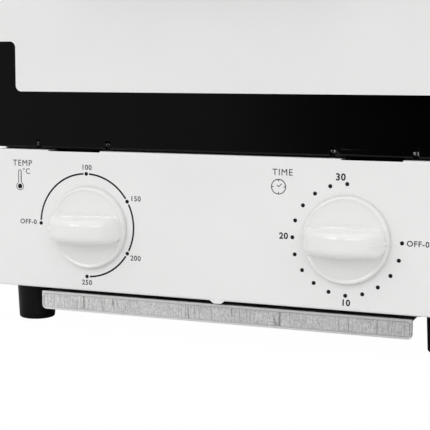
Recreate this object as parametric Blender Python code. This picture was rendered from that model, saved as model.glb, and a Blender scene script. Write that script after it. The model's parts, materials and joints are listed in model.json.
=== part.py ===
"""Bench-top dry heat sterilizer: a bottom-hung door over a control panel with two dials.

Metres, +Z up. Z = 0 is the surface under the feet, X = 0 is the middle, and +Y runs from the
front to the back. Depths are counted from the control panel's front face, and heights from
its lower edge.
"""

import math

import bmesh
import bpy
from mathutils import Matrix, Vector
from mathutils.geometry import interpolate_bezier

# Sheet metal and the gaps between neighbours
sheet = 0.0008
bend = 0.0016
seam = 0.0003
overrun = 0.002

# Body
body_width = 0.252
body_height = 0.198
body_depth = 0.190
body_corner = 0.006
foot_height = 0.0208
fold_depth = 0.008

# Control panel
panel_height = 0.0737
panel_depth = 0.0096
panel_hem_side = 0.0055
panel_hem_half = body_width / 2 - panel_hem_side
lug_left = -0.0018
lug_right = 0.0045
lug_drop = 0.0015
lug_corner = 0.0012
lug_inset = 0.0002
shaft_hole_radius = 0.0042

# Feet
foot_side = 0.0118
foot_offset = body_width / 2 - foot_side
foot_inset = 0.0215
foot_top_radius = 0.0103
foot_sole_radius = 0.0098
foot_edge = 0.0008
foot_chamfer = 0.0012
foot_recess_radius = 0.004
foot_recess_depth = 0.008
foot_stud_radius = 0.003
foot_stud_rise = 0.003

# Base plate
base_flange = 0.009
base_slot_width = 0.004
base_slot_length = 0.070
base_slot_pitch = 0.026
base_slot_count = 5

# Catch tray and its rails
tray_side = 0.0253
tray_lip_half = body_width / 2 - tray_side
tray_lip_drop = 0.0098
tray_lip_shift = -0.0008
tray_lip_corner = 0.0024
tray_setback = 0.0046
tray_gap = 0.0027
tray_rear_gap = 0.0134
tray_length = body_depth - tray_setback - tray_rear_gap
rail_margin = 0.0002
rail_half = tray_lip_half + rail_margin
rail_reach = 0.0055
rail_setback = 0.022

# Door
door_side_gap = 0.0004
door_bottom_gap = 0.0011
door_top_gap = 0.0015
door_width = body_width - 2 * door_side_gap
door_bottom = panel_height + door_bottom_gap
door_top = body_height - door_top_gap
door_setback = 0.0008
door_depth = 0.0088
door_edge = 0.0008
skin_thickness = 0.001
skin_margin = 0.0004
skin_rise = 0.0305
skin_notch_side = 0.0131
skin_notch_rise = 0.0261
skin_low = panel_height + skin_rise
skin_notch_half = body_width / 2 - skin_notch_side
skin_notch_top = skin_low + skin_notch_rise
skin_corner = 0.0032
skin_edge = 0.0003

# Door hinge
hinge_depth = 0.003
hinge_rise = 0.0034
hinge_height = panel_height + hinge_rise
hinge_pin_radius = 0.001
hinge_head_radius = 0.0017
hinge_head = 0.0009
knuckle_radius = 0.0025
hinge_side = 0.0252
hinge_span = 0.0414
knuckle_gap = 0.0053
knuckle_end_gap = 0.0068
ear_outer = body_width / 2 - hinge_side
ear_inner = ear_outer - hinge_span
knuckle_inner = ear_inner + knuckle_gap
knuckle_outer = ear_outer - knuckle_end_gap
ear_thickness = 0.001
ear_radius = 0.0018
ear_notch_side = 0.0009
ear_notch_rise = 0.0019
relief_depth = 0.00065
relief_side = 0.0005
relief_fold = 0.0018
leaf_drop = 0.014
leaf_rise = 0.0033
leaf_side = 0.0012

# Front frame and chamber
frame_drop = 0.0137
frame_low = panel_height - frame_drop
frame_gap = 0.0007
mouth_side = 0.020
mouth_rise = 0.0084
mouth_drop = 0.0135
mouth_half = body_width / 2 - mouth_side
mouth_low = hinge_height + mouth_rise
mouth_high = body_height - mouth_drop
mouth_corner = 0.005
chamber_rear_gap = 0.0296
chamber_flange = 0.0016
rib_height = 0.002
rib_front = 0.004
rib_back = 0.010
rib_lift = 0.0006

# Door liner
plug_side = 0.0025
plug_reach = 0.0055
plug_corner = 0.002
pad_margin = 0.0035

# Shelf and the hooks that draw it out
shelf_side_gap = 0.005
shelf_front_gap = 0.0047
shelf_rear_gap = 0.0104
shelf_rise = 0.0265
shelf_half = mouth_half - shelf_side_gap
shelf_height = mouth_low + shelf_rise
shelf_bar_radius = 0.0016
shelf_wire_radius = 0.0011
shelf_corner = 0.008
shelf_wire_count = 11
hook_width = 0.006
hook_slack = 0.006
hook_rise = 0.004
hook_drop = 0.001
hook_sheet = 0.001
hook_foot = 0.009

# Instrument tray
pan_side = 0.013
pan_front_inset = 0.013
pan_rear_inset = 0.010
pan_half = shelf_half - pan_side
pan_height = 0.016
pan_rim = 0.004
pan_corner = 0.010

# Heating elements
element_radius = 0.0032
element_side = 0.036
element_inset = 0.0336
element_half = mouth_half - element_side
element_bend = 0.014
element_tail = 0.012
element_floor_gap = 0.0105
bush_radius = 0.0055
bush_flange_radius = 0.008
bush_flange = 0.003
support_inset = 0.035
support_sheet = 0.001
support_ring = 0.0062
support_strip = 0.004

# Insulation round the chamber
lagging_inset = 0.0126
lagging_gap = 0.0006
lagging_side = 0.014
lagging_top = 0.0085
lagging_corner = 0.004

# Temperature control
temperature_side = 0.0557
temperature_drop = 0.040
temperature_x = temperature_side - body_width / 2
temperature_z = panel_height - temperature_drop
thermostat_width = 0.034
thermostat_height = 0.032
thermostat_depth = 0.020
control_corner = 0.003
bellows_radius = 0.0125
bellows_depth = 0.007
bellows_face_radius = 0.0088
tab_width = 0.0063
tab_length = 0.008
tab_sheet = 0.0008
tab_offset = 0.009
tab_lift = 0.0022
bulb_radius = 0.003
bulb_length = 0.060
bulb_side = 0.010
bulb_drop = 0.0285
bulb_x = bulb_side - mouth_half
bulb_height = mouth_high - bulb_drop
bulb_inset = 0.009
clip_width = 0.008
clip_wall = 0.0012
clip_foot = 0.006
capillary_radius = 0.0009

# Timer
timer_side = 0.0582
timer_drop = 0.0391
timer_x = body_width / 2 - timer_side
timer_z = panel_height - timer_drop
timer_width = 0.044
timer_height = 0.036
timer_depth = 0.024
bell_radius = 0.016
bell_depth = 0.009
bell_wall = 0.001
bell_post_radius = 0.002
bell_gap = 0.003

# Knobs and their shafts
knob_radius = 0.0211
knob_rim = 0.0028
knob_chamfer = 0.0009
knob_dish = 0.0007
knob_face_shares = (0.84, 0.4)
knob_lift = 0.0006
grip_half_length = 0.0184
grip_half_width = 0.0069
grip_end_height = 0.0095
grip_height = 0.0188
grip_crest_share = 0.9
grip_blunt_share = 6
grip_nose_share = 0.02
grip_side_share = 0.6
grip_dome_share = 0.55
grip_stations = 14
grip_points = 10
pointer_length = 0.0055
pointer_width = 0.0016
pointer_rise = 0.0006
shaft_radius = 0.003
shaft_flat = 0.0008
shaft_reach = 0.0082
shaft_seat = 0.005
boss_lift = 0.0002

# Handle
handle_half = 0.072
handle_drop = 0.0125
handle_height = door_top - handle_drop
handle_thickness = 0.010
handle_bar_height = 0.013
handle_stand = 0.022
handle_foot_x = 0.055
handle_foot_radius = 0.0062
handle_waist_radius = 0.005
handle_edge_share = 0.45
handle_end_shares = ((1.0, 0.45), (0.985, 0.78), (0.95, 0.95), (0.90, 1.0))
handle_screw_radius = 0.002
handle_screw_head = 0.004
handle_screw_depth = 0.009

# Door catch
catch_rise = 0.0067
catch_height = mouth_high + catch_rise
stud_radius = 0.0022
stud_tip_radius = 0.0015
stud_reach = 0.0085
stud_base_radius = 0.0036
catch_half_gap = 0.0028
catch_width = 0.010
catch_depth = 0.010
catch_flange = 0.0018

# Back panel, cord gland, terminal block and wires
slot_end_share = 0.9
vent_width = 0.003
vent_length = 0.026
vent_pitch = 0.011
vent_count = 8
vent_low = 0.022
back_vent_count = 9
gland_side = 0.034
gland_x = gland_side - body_width / 2
gland_height = 0.030
gland_radius = 0.0072
gland_flange_radius = 0.0105
gland_flange = 0.003
gland_bore = 0.0036
gland_neck = 0.010
block_width = 0.034
block_length = 0.018
block_height = 0.015
block_offset = 0.032
block_x = gland_x + block_offset
block_inset = 0.040
block_hole = 0.0019
block_pitch = 0.011
block_well = 0.003
wire_sag = 0.012
wire_lift = 0.005
wire_radius = 0.0012

# Places that follow from the sizes above
handle_reach = handle_stand + handle_thickness
skin_front = door_setback - seam - skin_thickness
front_y = (handle_reach - skin_front - body_depth - gland_flange) / 2
frame_face = door_setback + door_depth + frame_gap
chamber_front = frame_face + sheet + seam
chamber_back = body_depth - chamber_rear_gap
inner_half = body_width / 2 - sheet - seam
plug_face = door_setback + door_depth - sheet + plug_reach
shelf_front = plug_face + shelf_front_gap
shelf_back = chamber_back - shelf_rear_gap
pan_front = shelf_front + pan_front_inset
pan_back = shelf_back - pan_rear_inset
element_front = chamber_front + element_inset
support_depth = element_front + support_inset
lagging_front = chamber_front + lagging_inset
tray_floor_top = -tray_gap
rail_top = -seam
rail_slot_top = rail_top - sheet
tray_edge_top = rail_slot_top - seam
tray_floor_low = tray_floor_top - sheet
rail_shelf = tray_floor_low - seam
pan_floor = shelf_height + shelf_bar_radius + shelf_wire_radius + seam

# Facets of round pieces
fine_steps = 40
round_steps = 22
small_steps = 12
tiny_steps = 6
corner_steps = 4


def depth_y(depth):
    """World Y of a depth behind the control panel's front face."""
    return front_y + depth


def height_z(height):
    """World Z of a height above the control panel's lower edge."""
    return foot_height + height


def clear_scene():
    for old in list(bpy.data.objects):
        bpy.data.objects.remove(old, do_unlink=True)


def make_material(name, colour, roughness, metallic):
    material = bpy.data.materials.new(name)
    material.use_nodes = True
    shader = material.node_tree.nodes["Principled BSDF"]
    shader.inputs["Base Color"].default_value = (*colour, 1)
    shader.inputs["Roughness"].default_value = roughness
    shader.inputs["Metallic"].default_value = metallic
    return material


def mesh_object(name, shape):
    """A scene object from a bmesh whose points are world places."""
    bmesh.ops.recalc_face_normals(shape, faces=shape.faces)
    mesh = bpy.data.meshes.new(name)
    shape.to_mesh(mesh)
    shape.free()
    made = bpy.data.objects.new(name, mesh)
    bpy.context.scene.collection.objects.link(made)
    return made


def place(axis, along, first, second):
    """A world point from a distance along an axis and the two cross directions."""
    if axis == "X":
        return Vector((along, first, second))
    if axis == "Y":
        return Vector((first, along, second))
    return Vector((first, second, along))


def prism(name, outline, axis, start, end, edge=0):
    """An outline pushed along an axis; edge rounds the rim of its first face."""
    shape = bmesh.new()
    first = [shape.verts.new(place(axis, start, a, b)) for a, b in outline]
    second = [shape.verts.new(place(axis, end, a, b)) for a, b in outline]
    shape.faces.new(first)
    shape.faces.new(second)
    rim = []
    for i, point in enumerate(first):
        after = (i + 1) % len(first)
        shape.faces.new((point, first[after], second[after], second[i]))
        rim.append(shape.edges.get((point, first[after])))
    if edge:
        bmesh.ops.bevel(shape, geom=rim, offset=edge, segments=2, profile=0.5, affect="EDGES")
    return mesh_object(name, shape)


def box(name, low, high, radius=0, square_side=None, segments=2):
    """A block from corner to corner; square_side, such as +Y, names a face whose rim stays sharp."""
    shape = bmesh.new()
    bmesh.ops.create_cube(shape, size=1)
    low, high = Vector(low), Vector(high)
    for point in shape.verts:
        for i in range(3):
            point.co[i] = high[i] if point.co[i] > 0 else low[i]
    if radius:
        edges = list(shape.edges)
        if square_side:
            i = "XYZ".index(square_side[1])
            level = high[i] if square_side[0] == "+" else low[i]
            edges = [e for e in edges if any(p.co[i] != level for p in e.verts)]
        bmesh.ops.bevel(shape, geom=edges, offset=radius, segments=segments, profile=0.5, affect="EDGES")
    return mesh_object(name, shape)


def arc_corner(before, corner, after, radius, steps=corner_steps):
    """Points of a round of this radius in place of an outline's corner."""
    before, corner, after = Vector(before), Vector(corner), Vector(after)
    back = (before - corner).normalized()
    ahead = (after - corner).normalized()
    half = back.angle(ahead) / 2
    centre = corner + (back + ahead).normalized() * radius / math.sin(half)
    start = corner + back * radius / math.tan(half) - centre
    end = corner + ahead * radius / math.tan(half) - centre
    turn = start.angle_signed(end)
    return [tuple(centre + Matrix.Rotation(-turn * i / steps, 2) @ start) for i in range(steps + 1)]


def rounded(outline, radii, steps=corner_steps, closed=True):
    """An outline with each corner rounded by its own radius; zero leaves it sharp."""
    points = []
    for i, corner in enumerate(outline):
        ends = not closed and i in (0, len(outline) - 1)
        if ends or not radii[i]:
            points.append(tuple(corner))
            continue
        points += arc_corner(outline[i - 1], corner, outline[(i + 1) % len(outline)], radii[i], steps)
    return points


def rectangle(left, low, right, high, radius=0, steps=corner_steps):
    corners = [(left, low), (right, low), (right, high), (left, high)]
    return rounded(corners, [radius] * 4, steps)


def strip_outline(path, thickness, radius):
    """The outline of a bent strip: a path along its outer face, with its thickness to the path's left."""
    points = [Vector(p) for p in path]
    inner = []
    for i, point in enumerate(points):
        back = (point - points[i - 1]).normalized() if i else None
        ahead = (points[i + 1] - point).normalized() if i < len(points) - 1 else None
        back = back or ahead
        ahead = ahead or back
        left = Vector((-(back + ahead).y, (back + ahead).x)).normalized()
        side = Vector((-back.y, back.x))
        inner.append(point + left * thickness / left.dot(side))
    turns = [0.0]
    for i in range(1, len(points) - 1):
        before, after = points[i] - points[i - 1], points[i + 1] - points[i]
        turns.append(before.x * after.y - before.y * after.x)
    turns.append(0.0)
    outer_radii = [radius + (0 if t > 0 else -thickness) if t else 0 for t in turns]
    inner_radii = [radius - (thickness if t > 0 else 0) if t else 0 for t in turns]
    outer_line = rounded([tuple(p) for p in points], outer_radii, closed=False)
    inner_line = rounded([tuple(p) for p in inner], inner_radii, closed=False)
    return outer_line + inner_line[::-1]


def turned(name, profile, axis, centre, steps):
    """A profile of (radius, distance along the axis) spun about an axis through a centre."""
    shape = bmesh.new()
    rings = []
    for radius, along in profile:
        if radius == 0:
            rings.append([shape.verts.new(place(axis, along, 0, 0))])
            continue
        angles = [2 * math.pi * i / steps for i in range(steps)]
        rings.append([shape.verts.new(place(axis, along, radius * math.cos(a), radius * math.sin(a)))
                      for a in angles])
    closed = len(rings[0]) > 1
    pairs = zip(rings, rings[1:] + rings[:1]) if closed else zip(rings, rings[1:])
    for first, second in pairs:
        for i in range(steps):
            after = (i + 1) % steps
            corners = [first[i % len(first)], first[after % len(first)],
                       second[after % len(second)], second[i % len(second)]]
            shape.faces.new(list(dict.fromkeys(corners)))
    bmesh.ops.translate(shape, vec=Vector(centre), verts=shape.verts)
    return mesh_object(name, shape)


def cylinder(name, axis, centre, radius, start, end, steps=small_steps):
    """A plain cylinder between two distances along an axis through a centre."""
    return turned(name, [(0, start), (radius, start), (radius, end), (0, end)], axis, centre, steps)


def smooth_route(points, per_span):
    """Points of a smooth curve through a route, with its bends kept near the route's own points."""
    route = [Vector(p) for p in points]
    spans = [after - before for before, after in zip(route, route[1:])]
    slopes = [spans[0].normalized()]
    for back, ahead in zip(spans, spans[1:]):
        slope = back.normalized() / back.length + ahead.normalized() / ahead.length
        slopes.append(slope / (1 / back.length + 1 / ahead.length))
    slopes.append(spans[-1].normalized())
    line = [route[0]]
    for i, span in enumerate(spans):
        reach = span.length / 3
        line += interpolate_bezier(route[i], route[i] + slopes[i] * reach,
                                   route[i + 1] - slopes[i + 1] * reach, route[i + 1], per_span + 1)[1:]
    return line


def tube(name, line, radius, cyclic=False, resolution=2):
    """A round tube along a line of points."""
    data = bpy.data.curves.new(name, "CURVE")
    data.dimensions = "3D"
    data.bevel_depth = radius
    data.bevel_resolution = resolution
    data.use_fill_caps = True
    spline = data.splines.new("POLY")
    spline.points.add(len(line) - 1)
    for target, point in zip(spline.points, line):
        target.co = (*point, 1)
    spline.use_cyclic_u = cyclic
    made = bpy.data.objects.new(name, data)
    bpy.context.scene.collection.objects.link(made)
    return made


def settle(target):
    """Turns an object with its modifiers, or a curve, into a plain mesh object."""
    graph = bpy.context.evaluated_depsgraph_get()
    mesh = bpy.data.meshes.new_from_object(target.evaluated_get(graph))
    name = target.name
    bpy.data.objects.remove(target, do_unlink=True)
    made = bpy.data.objects.new(name, mesh)
    bpy.context.scene.collection.objects.link(made)
    return made


def combine(target, tools, operation):
    """Joins or cuts a solid with each tool in turn, and clears the tools away."""
    for tool in tools:
        step = target.modifiers.new(operation.lower(), "BOOLEAN")
        step.operation = operation
        step.solver = "EXACT"
        step.object = tool
        target = settle(target)
        bpy.data.objects.remove(tool, do_unlink=True)
    return target


def cut(target, *tools):
    return combine(target, tools, "DIFFERENCE")


def join(target, *tools):
    return combine(target, tools, "UNION")


def finish(target, material, origin=(0, 0, 0)):
    """Gives a piece its material, its shading and an origin on its own joint or seat."""
    if target.type == "CURVE":
        target = settle(target)
    mesh = target.data
    mesh.materials.clear()
    mesh.materials.append(material)
    for face in mesh.polygons:
        face.material_index = 0
    mesh.shade_smooth()
    mesh.set_sharp_from_angle(angle=math.radians(35))
    mesh.transform(Matrix.Translation(-Vector(origin)))
    target.location = origin
    return target


def slots(name, axis, through, centres, width, length):
    """One cutter holding a row of separate slots with chamfered ends."""
    shape = bmesh.new()
    half, reach = width / 2, length / 2
    for a, b in centres:
        outline = rectangle(a - half, b - reach, a + half, b + reach, half * slot_end_share, 1)
        first = [shape.verts.new(place(axis, through[0], *p)) for p in outline]
        second = [shape.verts.new(place(axis, through[1], *p)) for p in outline]
        shape.faces.new(first)
        shape.faces.new(second)
        for i in range(len(first)):
            after = (i + 1) % len(first)
            shape.faces.new((first[i], first[after], second[after], second[i]))
    return mesh_object(name, shape)


def sheet_tray(name, low, high, open_side, radius=bend):
    """A folded sheet box that is open on one side, such as +Y."""
    i = "XYZ".index(open_side[1])
    outer = box(name, low, high, radius, open_side)
    inner_low = [v + sheet for v in low]
    inner_high = [v - sheet for v in high]
    if open_side[0] == "+":
        inner_high[i] = high[i] + overrun
    else:
        inner_low[i] = low[i] - overrun
    return cut(outer, box(name + "_hollow", inner_low, inner_high))


def folded_tray(name, left, low, right, high, closed, opened):
    """A sheet tray that opens along Y, with its two upper corners rounded to sit inside the wrap."""
    corners = [(left, low), (right, low), (right, high), (left, high)]
    top = body_corner - sheet - seam
    radii = [bend, bend, top, top]
    way = 1 if opened > closed else -1
    tray = prism(name, rounded(corners, radii), "Y", closed, opened, bend)
    inner = [(left + sheet, low + sheet), (right - sheet, low + sheet), (right - sheet, high - sheet),
             (left + sheet, high - sheet)]
    inner = rounded(inner, [radius - sheet for radius in radii])
    return cut(tray, prism("hollow", inner, "Y", closed + way * sheet, opened + way * overrun))


def make_housing_wrap(material):
    half = body_width / 2
    path = [(half, height_z(0)), (half, height_z(body_height)), (-half, height_z(body_height)),
            (-half, height_z(0))]
    front = depth_y(panel_depth + seam)
    outline = strip_outline(path, sheet, body_corner)
    wrap = prism("housing_wrap", outline, "Y", front, depth_y(body_depth))
    middle = depth_y(body_depth / 2)
    first = middle - vent_pitch * (vent_count - 1) / 2
    centres = [(first + vent_pitch * i, height_z(vent_low + vent_length / 2)) for i in range(vent_count)]
    for side in (-1, 1):
        wall = side * half
        cutter = slots("side_vents", "X", (wall - overrun, wall + overrun), centres, vent_width, vent_length)
        wrap = cut(wrap, cutter)
    return finish(wrap, material)


def make_control_panel(material):
    half = body_width / 2
    panel = sheet_tray("control_panel", (-half, depth_y(0), height_z(0)),
                       (half, depth_y(panel_depth), height_z(panel_height)), "+Y")
    lug_outline = rounded([(lug_left, height_z(sheet)), (lug_left, height_z(-lug_drop)),
                           (lug_right, height_z(-lug_drop)), (lug_right, height_z(sheet))],
                          [0, lug_corner, lug_corner, 0])
    panel = join(panel, prism("lug", lug_outline, "Y", depth_y(lug_inset), depth_y(sheet - lug_inset / 2)))
    tools = []
    for side in (-1, 1):
        ends = sorted((side * (half - sheet - seam), side * panel_hem_half))
        tools.append(box("hem_relief", (ends[0], depth_y(bend), height_z(-overrun)),
                         (ends[1], depth_y(panel_depth + overrun), height_z(bend))))
        ends = sorted((side * (knuckle_inner - relief_side), side * (knuckle_outer + relief_side)))
        tools.append(box("knuckle_relief",
                         (ends[0], depth_y(-overrun), height_z(panel_height - relief_depth)),
                         (ends[1], depth_y(panel_depth + overrun), height_z(panel_height + overrun))))
        tools.append(box("fold_relief", (ends[0], depth_y(sheet), height_z(panel_height - relief_fold)),
                         (ends[1], depth_y(panel_depth + overrun), height_z(panel_height + overrun))))
    for x, z in ((temperature_x, temperature_z), (timer_x, timer_z)):
        tools.append(cylinder("shaft_hole", "Y", (x, 0, height_z(z)), shaft_hole_radius,
                              depth_y(-overrun), depth_y(sheet + overrun), round_steps))
    return finish(cut(panel, *tools), material)


def ear_spans(side, margin):
    """The widths of the two hinge ears on one side, each grown by a margin."""
    inner = (side * (ear_inner - margin), side * (ear_inner + ear_thickness + margin))
    outer = (side * (ear_outer - ear_thickness - margin), side * (ear_outer + margin))
    return sorted(inner), sorted(outer)


def make_front_frame(material):
    frame = folded_tray("front_frame", -inner_half, height_z(frame_low), inner_half,
                        height_z(body_height - sheet - seam), depth_y(frame_face),
                        depth_y(frame_face + fold_depth))
    mouth = rectangle(-mouth_half, height_z(mouth_low), mouth_half, height_z(mouth_high), mouth_corner)
    through = (depth_y(frame_face - overrun), depth_y(frame_face + sheet + overrun))
    tools = [prism("mouth", mouth, "Y", *through)]
    for side in (-1, 1):
        for left, right in ear_spans(side, seam):
            tools.append(box("ear_slot", (left, through[0], height_z(hinge_height - ear_radius - seam)),
                             (right, through[1], height_z(hinge_height + ear_radius + seam))))
    tools.append(cylinder("stud_hole", "Y", (0, 0, height_z(catch_height)), catch_half_gap, *through))
    return finish(cut(frame, *tools), material)


def make_base_plate(material):
    front = depth_y(panel_depth + 2 * seam)
    back = depth_y(body_depth - sheet - seam)
    plate = sheet_tray("base_plate", (-inner_half, front, height_z(0)),
                       (inner_half, back, height_z(base_flange)), "+Z")
    first = -base_slot_pitch * (base_slot_count - 1) / 2
    centres = [(first + base_slot_pitch * i, depth_y(body_depth / 2)) for i in range(base_slot_count)]
    through = (height_z(-overrun), height_z(sheet + overrun))
    tools = [slots("base_slots", "Z", through, centres, base_slot_width, base_slot_length)]
    for x, y in foot_places():
        tools.append(cylinder("stud_hole", "Z", (x, y, 0), foot_stud_radius + seam, *through))
    return finish(cut(plate, *tools), material)


def make_back_panel(material):
    low = height_z(base_flange + seam)
    plate = folded_tray("back_panel", -inner_half, low, inner_half, height_z(body_height - sheet - seam),
                        depth_y(body_depth), depth_y(body_depth - fold_depth))
    inner = depth_y(body_depth - fold_depth - overrun)
    web = depth_y(body_depth - sheet)
    through = (web - overrun, depth_y(body_depth + overrun))
    low_flange = box("low_flange", (-inner_half + sheet, inner, low - overrun),
                     (inner_half - sheet, web, low + bend))
    first = -vent_pitch * (back_vent_count - 1) / 2
    rows = (height_z(vent_low + vent_length), height_z(mouth_high - vent_length / 2))
    centres = [(first + vent_pitch * i, row) for row in rows for i in range(back_vent_count)]
    vents = slots("back_vents", "Y", through, centres, vent_width, vent_length)
    hole = cylinder("gland_hole", "Y", (gland_x, 0, height_z(gland_height)), gland_radius + seam,
                    *through, round_steps)
    return finish(cut(plate, low_flange, vents, hole), material)


def foot_places():
    rows = (depth_y(foot_inset), depth_y(body_depth - foot_inset))
    return [(x, y) for y in rows for x in (-foot_offset, foot_offset)]


def make_feet(material):
    names = ("foot_front_left", "foot_front_right", "foot_rear_left", "foot_rear_right")
    top = foot_height - seam
    profile = [(0, foot_height + foot_stud_rise), (foot_stud_radius, foot_height + foot_stud_rise),
               (foot_stud_radius, top), (foot_top_radius, top), (foot_sole_radius, foot_chamfer),
               (foot_sole_radius - foot_edge / 2, foot_edge / 2), (foot_sole_radius - foot_chamfer, 0),
               (foot_recess_radius, 0), (foot_recess_radius, foot_recess_depth), (0, foot_recess_depth)]
    for name, (x, y) in zip(names, foot_places()):
        finish(turned(name, profile, "Z", (x, y, 0), round_steps), material, (x, y, 0))


def make_catch_tray(material):
    """A flat pan with low turned-up edges and a front lip folded down as its grip."""
    front, back = depth_y(tray_setback), depth_y(tray_setback + tray_length)
    half = rail_half - sheet - seam
    floor = [height_z(tray_floor_low), height_z(tray_floor_top)]
    pan = box("catch_tray", (-half, front + sheet, floor[0]), (half, back, floor[1]))
    top = height_z(tray_edge_top)
    for side in (-1, 1):
        ends = sorted((side * half, side * (half - sheet)))
        edge_front = depth_y(rail_setback)
        pan = join(pan, box("side_edge", (ends[0], edge_front, floor[0]), (ends[1], back, top)))
    pan = join(pan, box("rear_edge", (-half, back - sheet, floor[0]), (half, back, top)))
    low = height_z(tray_floor_top - tray_lip_drop)
    left, right = tray_lip_shift - tray_lip_half, tray_lip_shift + tray_lip_half
    lip = prism("lip", rounded([(left, floor[1]), (left, low), (right, low), (right, floor[1])],
                               [sheet / 2, tray_lip_corner, tray_lip_corner, sheet / 2]),
                "Y", front, front + sheet, sheet / 4)
    return finish(join(pan, lip), material, (0, front, floor[0]))


def make_tray_rails(material):
    """Two channels under the base that hold the tray's turned-up edges."""
    start, end = depth_y(rail_setback), depth_y(tray_setback + tray_length)
    low = height_z(rail_shelf - sheet)
    for name, side in (("tray_rail_left", -1), ("tray_rail_right", 1)):
        inner = side * (rail_half - rail_reach)
        outer = side * rail_half
        path = [(inner, height_z(rail_top)), (outer, height_z(rail_top)), (outer, low), (inner, low)]
        if side > 0:
            path = path[::-1]
        finish(prism(name, strip_outline(path, sheet, sheet), "Y", start, end), material)


def make_door_frame(material):
    half = door_width / 2
    axis_y, axis_z = depth_y(hinge_depth), height_z(hinge_height)
    frame = sheet_tray("door_frame", (-half, depth_y(door_setback), height_z(door_bottom)),
                       (half, depth_y(door_setback + door_depth), height_z(door_top)), "+Y", door_edge)
    for side in (-1, 1):
        ends = sorted((side * knuckle_inner, side * knuckle_outer))
        frame = join(frame, cylinder("knuckle", "X", (0, axis_y, axis_z), knuckle_radius, *ends,
                                     small_steps))
        bore = (ends[0] - overrun, ends[1] + overrun)
        frame = cut(frame, cylinder("bore", "X", (0, axis_y, axis_z), hinge_pin_radius + seam, *bore,
                                    small_steps))
        for left, right in ear_spans(side, ear_notch_side):
            notch = box("ear_notch", (left, depth_y(-overrun), height_z(door_bottom - overrun)),
                        (right, depth_y(door_setback + door_depth + overrun),
                         height_z(hinge_height + ear_notch_rise)))
            frame = cut(frame, notch)
    holes = handle_screw_holes(door_setback, door_setback + sheet)
    return finish(cut(frame, *holes), material, (0, axis_y, axis_z))


def handle_screw_holes(start, end):
    """Cutters for the two handle screws through a sheet between two depths."""
    return [cylinder("screw_hole", "Y", (side * handle_foot_x, 0, height_z(handle_height)),
                     handle_screw_radius + seam, depth_y(start - overrun), depth_y(end + overrun))
            for side in (-1, 1)]


def make_door_skin(material):
    half = door_width / 2 - skin_margin
    low, notch, top = height_z(skin_low), height_z(skin_notch_top), height_z(door_top)
    outline = rounded([(-skin_notch_half, low), (skin_notch_half, low), (skin_notch_half, notch),
                       (half, notch), (half, top), (-half, top), (-half, notch), (-skin_notch_half, notch)],
                      [skin_corner] * 3 + [skin_edge] + [skin_corner] * 2 + [skin_edge, skin_corner])
    skin = prism("door_skin", outline, "Y", depth_y(skin_front), depth_y(skin_front + skin_thickness),
                 skin_edge)
    skin = cut(skin, *handle_screw_holes(skin_front, skin_front + skin_thickness))
    return finish(skin, material, (0, depth_y(hinge_depth), height_z(hinge_height)))


def make_door_liner(material):
    """The inner plate of the door, with a pan pressed into the chamber's mouth."""
    half = door_width / 2 - sheet - seam
    low = height_z(hinge_height + ear_notch_rise + seam)
    back = depth_y(door_setback + door_depth)
    web = back - 2 * sheet
    plate = box("door_liner", (-half, web, low), (half, back - sheet, height_z(door_top - sheet - seam)))
    plug_half = mouth_half - plug_side
    plug_low, plug_high = height_z(mouth_low + plug_side), height_z(mouth_high - plug_side)
    plug = box("plug", (-plug_half, web, plug_low), (plug_half, depth_y(plug_face), plug_high),
               plug_corner, "-Y")
    hollow = box("plug_hollow", (-plug_half + sheet, web - overrun, plug_low + sheet),
                 (plug_half - sheet, depth_y(plug_face - sheet), plug_high - sheet))
    return finish(cut(join(plate, plug), hollow), material,
                  (0, depth_y(hinge_depth), height_z(hinge_height)))


def make_door_pad(material):
    half = mouth_half - plug_side - pad_margin
    low, high = height_z(mouth_low + plug_side + pad_margin), height_z(mouth_high - plug_side - pad_margin)
    start = depth_y(door_setback + sheet + seam)
    clear = height_z(handle_height - handle_screw_head - seam)
    pad = box("door_insulation", (-half, start, low),
              (half, depth_y(plug_face - sheet - seam), min(high, clear)), plug_corner)
    return finish(pad, material, (0, depth_y(hinge_depth), height_z(hinge_height)))


def make_handle(material):
    """A moulded bar on two feet, which take the screws from inside the door."""
    axis_z = height_z(handle_height)
    back = depth_y(skin_front - seam)
    bar_back = depth_y(skin_front - handle_stand)
    bar_front = bar_back - handle_thickness
    section = rounded([(bar_front, axis_z - handle_bar_height / 2),
                       (bar_back, axis_z - handle_bar_height / 2),
                       (bar_back, axis_z + handle_bar_height / 2),
                       (bar_front, axis_z + handle_bar_height / 2)],
                      [handle_thickness * handle_edge_share] * 4)
    shape = bmesh.new()
    rings = []
    stations = list(handle_end_shares) + [(-x, s) for x, s in reversed(handle_end_shares)]
    middle_y = (bar_back + bar_front) / 2
    for x_share, size_share in stations:
        rings.append([shape.verts.new((x_share * handle_half, middle_y + (y - middle_y) * size_share,
                                       axis_z + (z - axis_z) * size_share)) for y, z in section])
    for first, second in zip(rings, rings[1:]):
        for i, point in enumerate(first):
            after = (i + 1) % len(first)
            shape.faces.new((point, first[after], second[after], second[i]))
    shape.faces.new(rings[0])
    shape.faces.new(rings[-1])
    handle = mesh_object("door_handle", shape)
    for side in (-1, 1):
        x = side * handle_foot_x
        foot = turned("foot", [(0, back), (handle_foot_radius, back), (handle_waist_radius, bar_back),
                               (handle_waist_radius, middle_y), (0, middle_y)],
                      "Y", (x, 0, axis_z), small_steps)
        handle = join(handle, foot)
        bore = cylinder("screw_bore", "Y", (x, 0, axis_z), handle_screw_radius + seam,
                        back - handle_screw_depth - seam, back + overrun)
        handle = cut(handle, bore)
    finish(handle, material, (0, depth_y(hinge_depth), axis_z))


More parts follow.
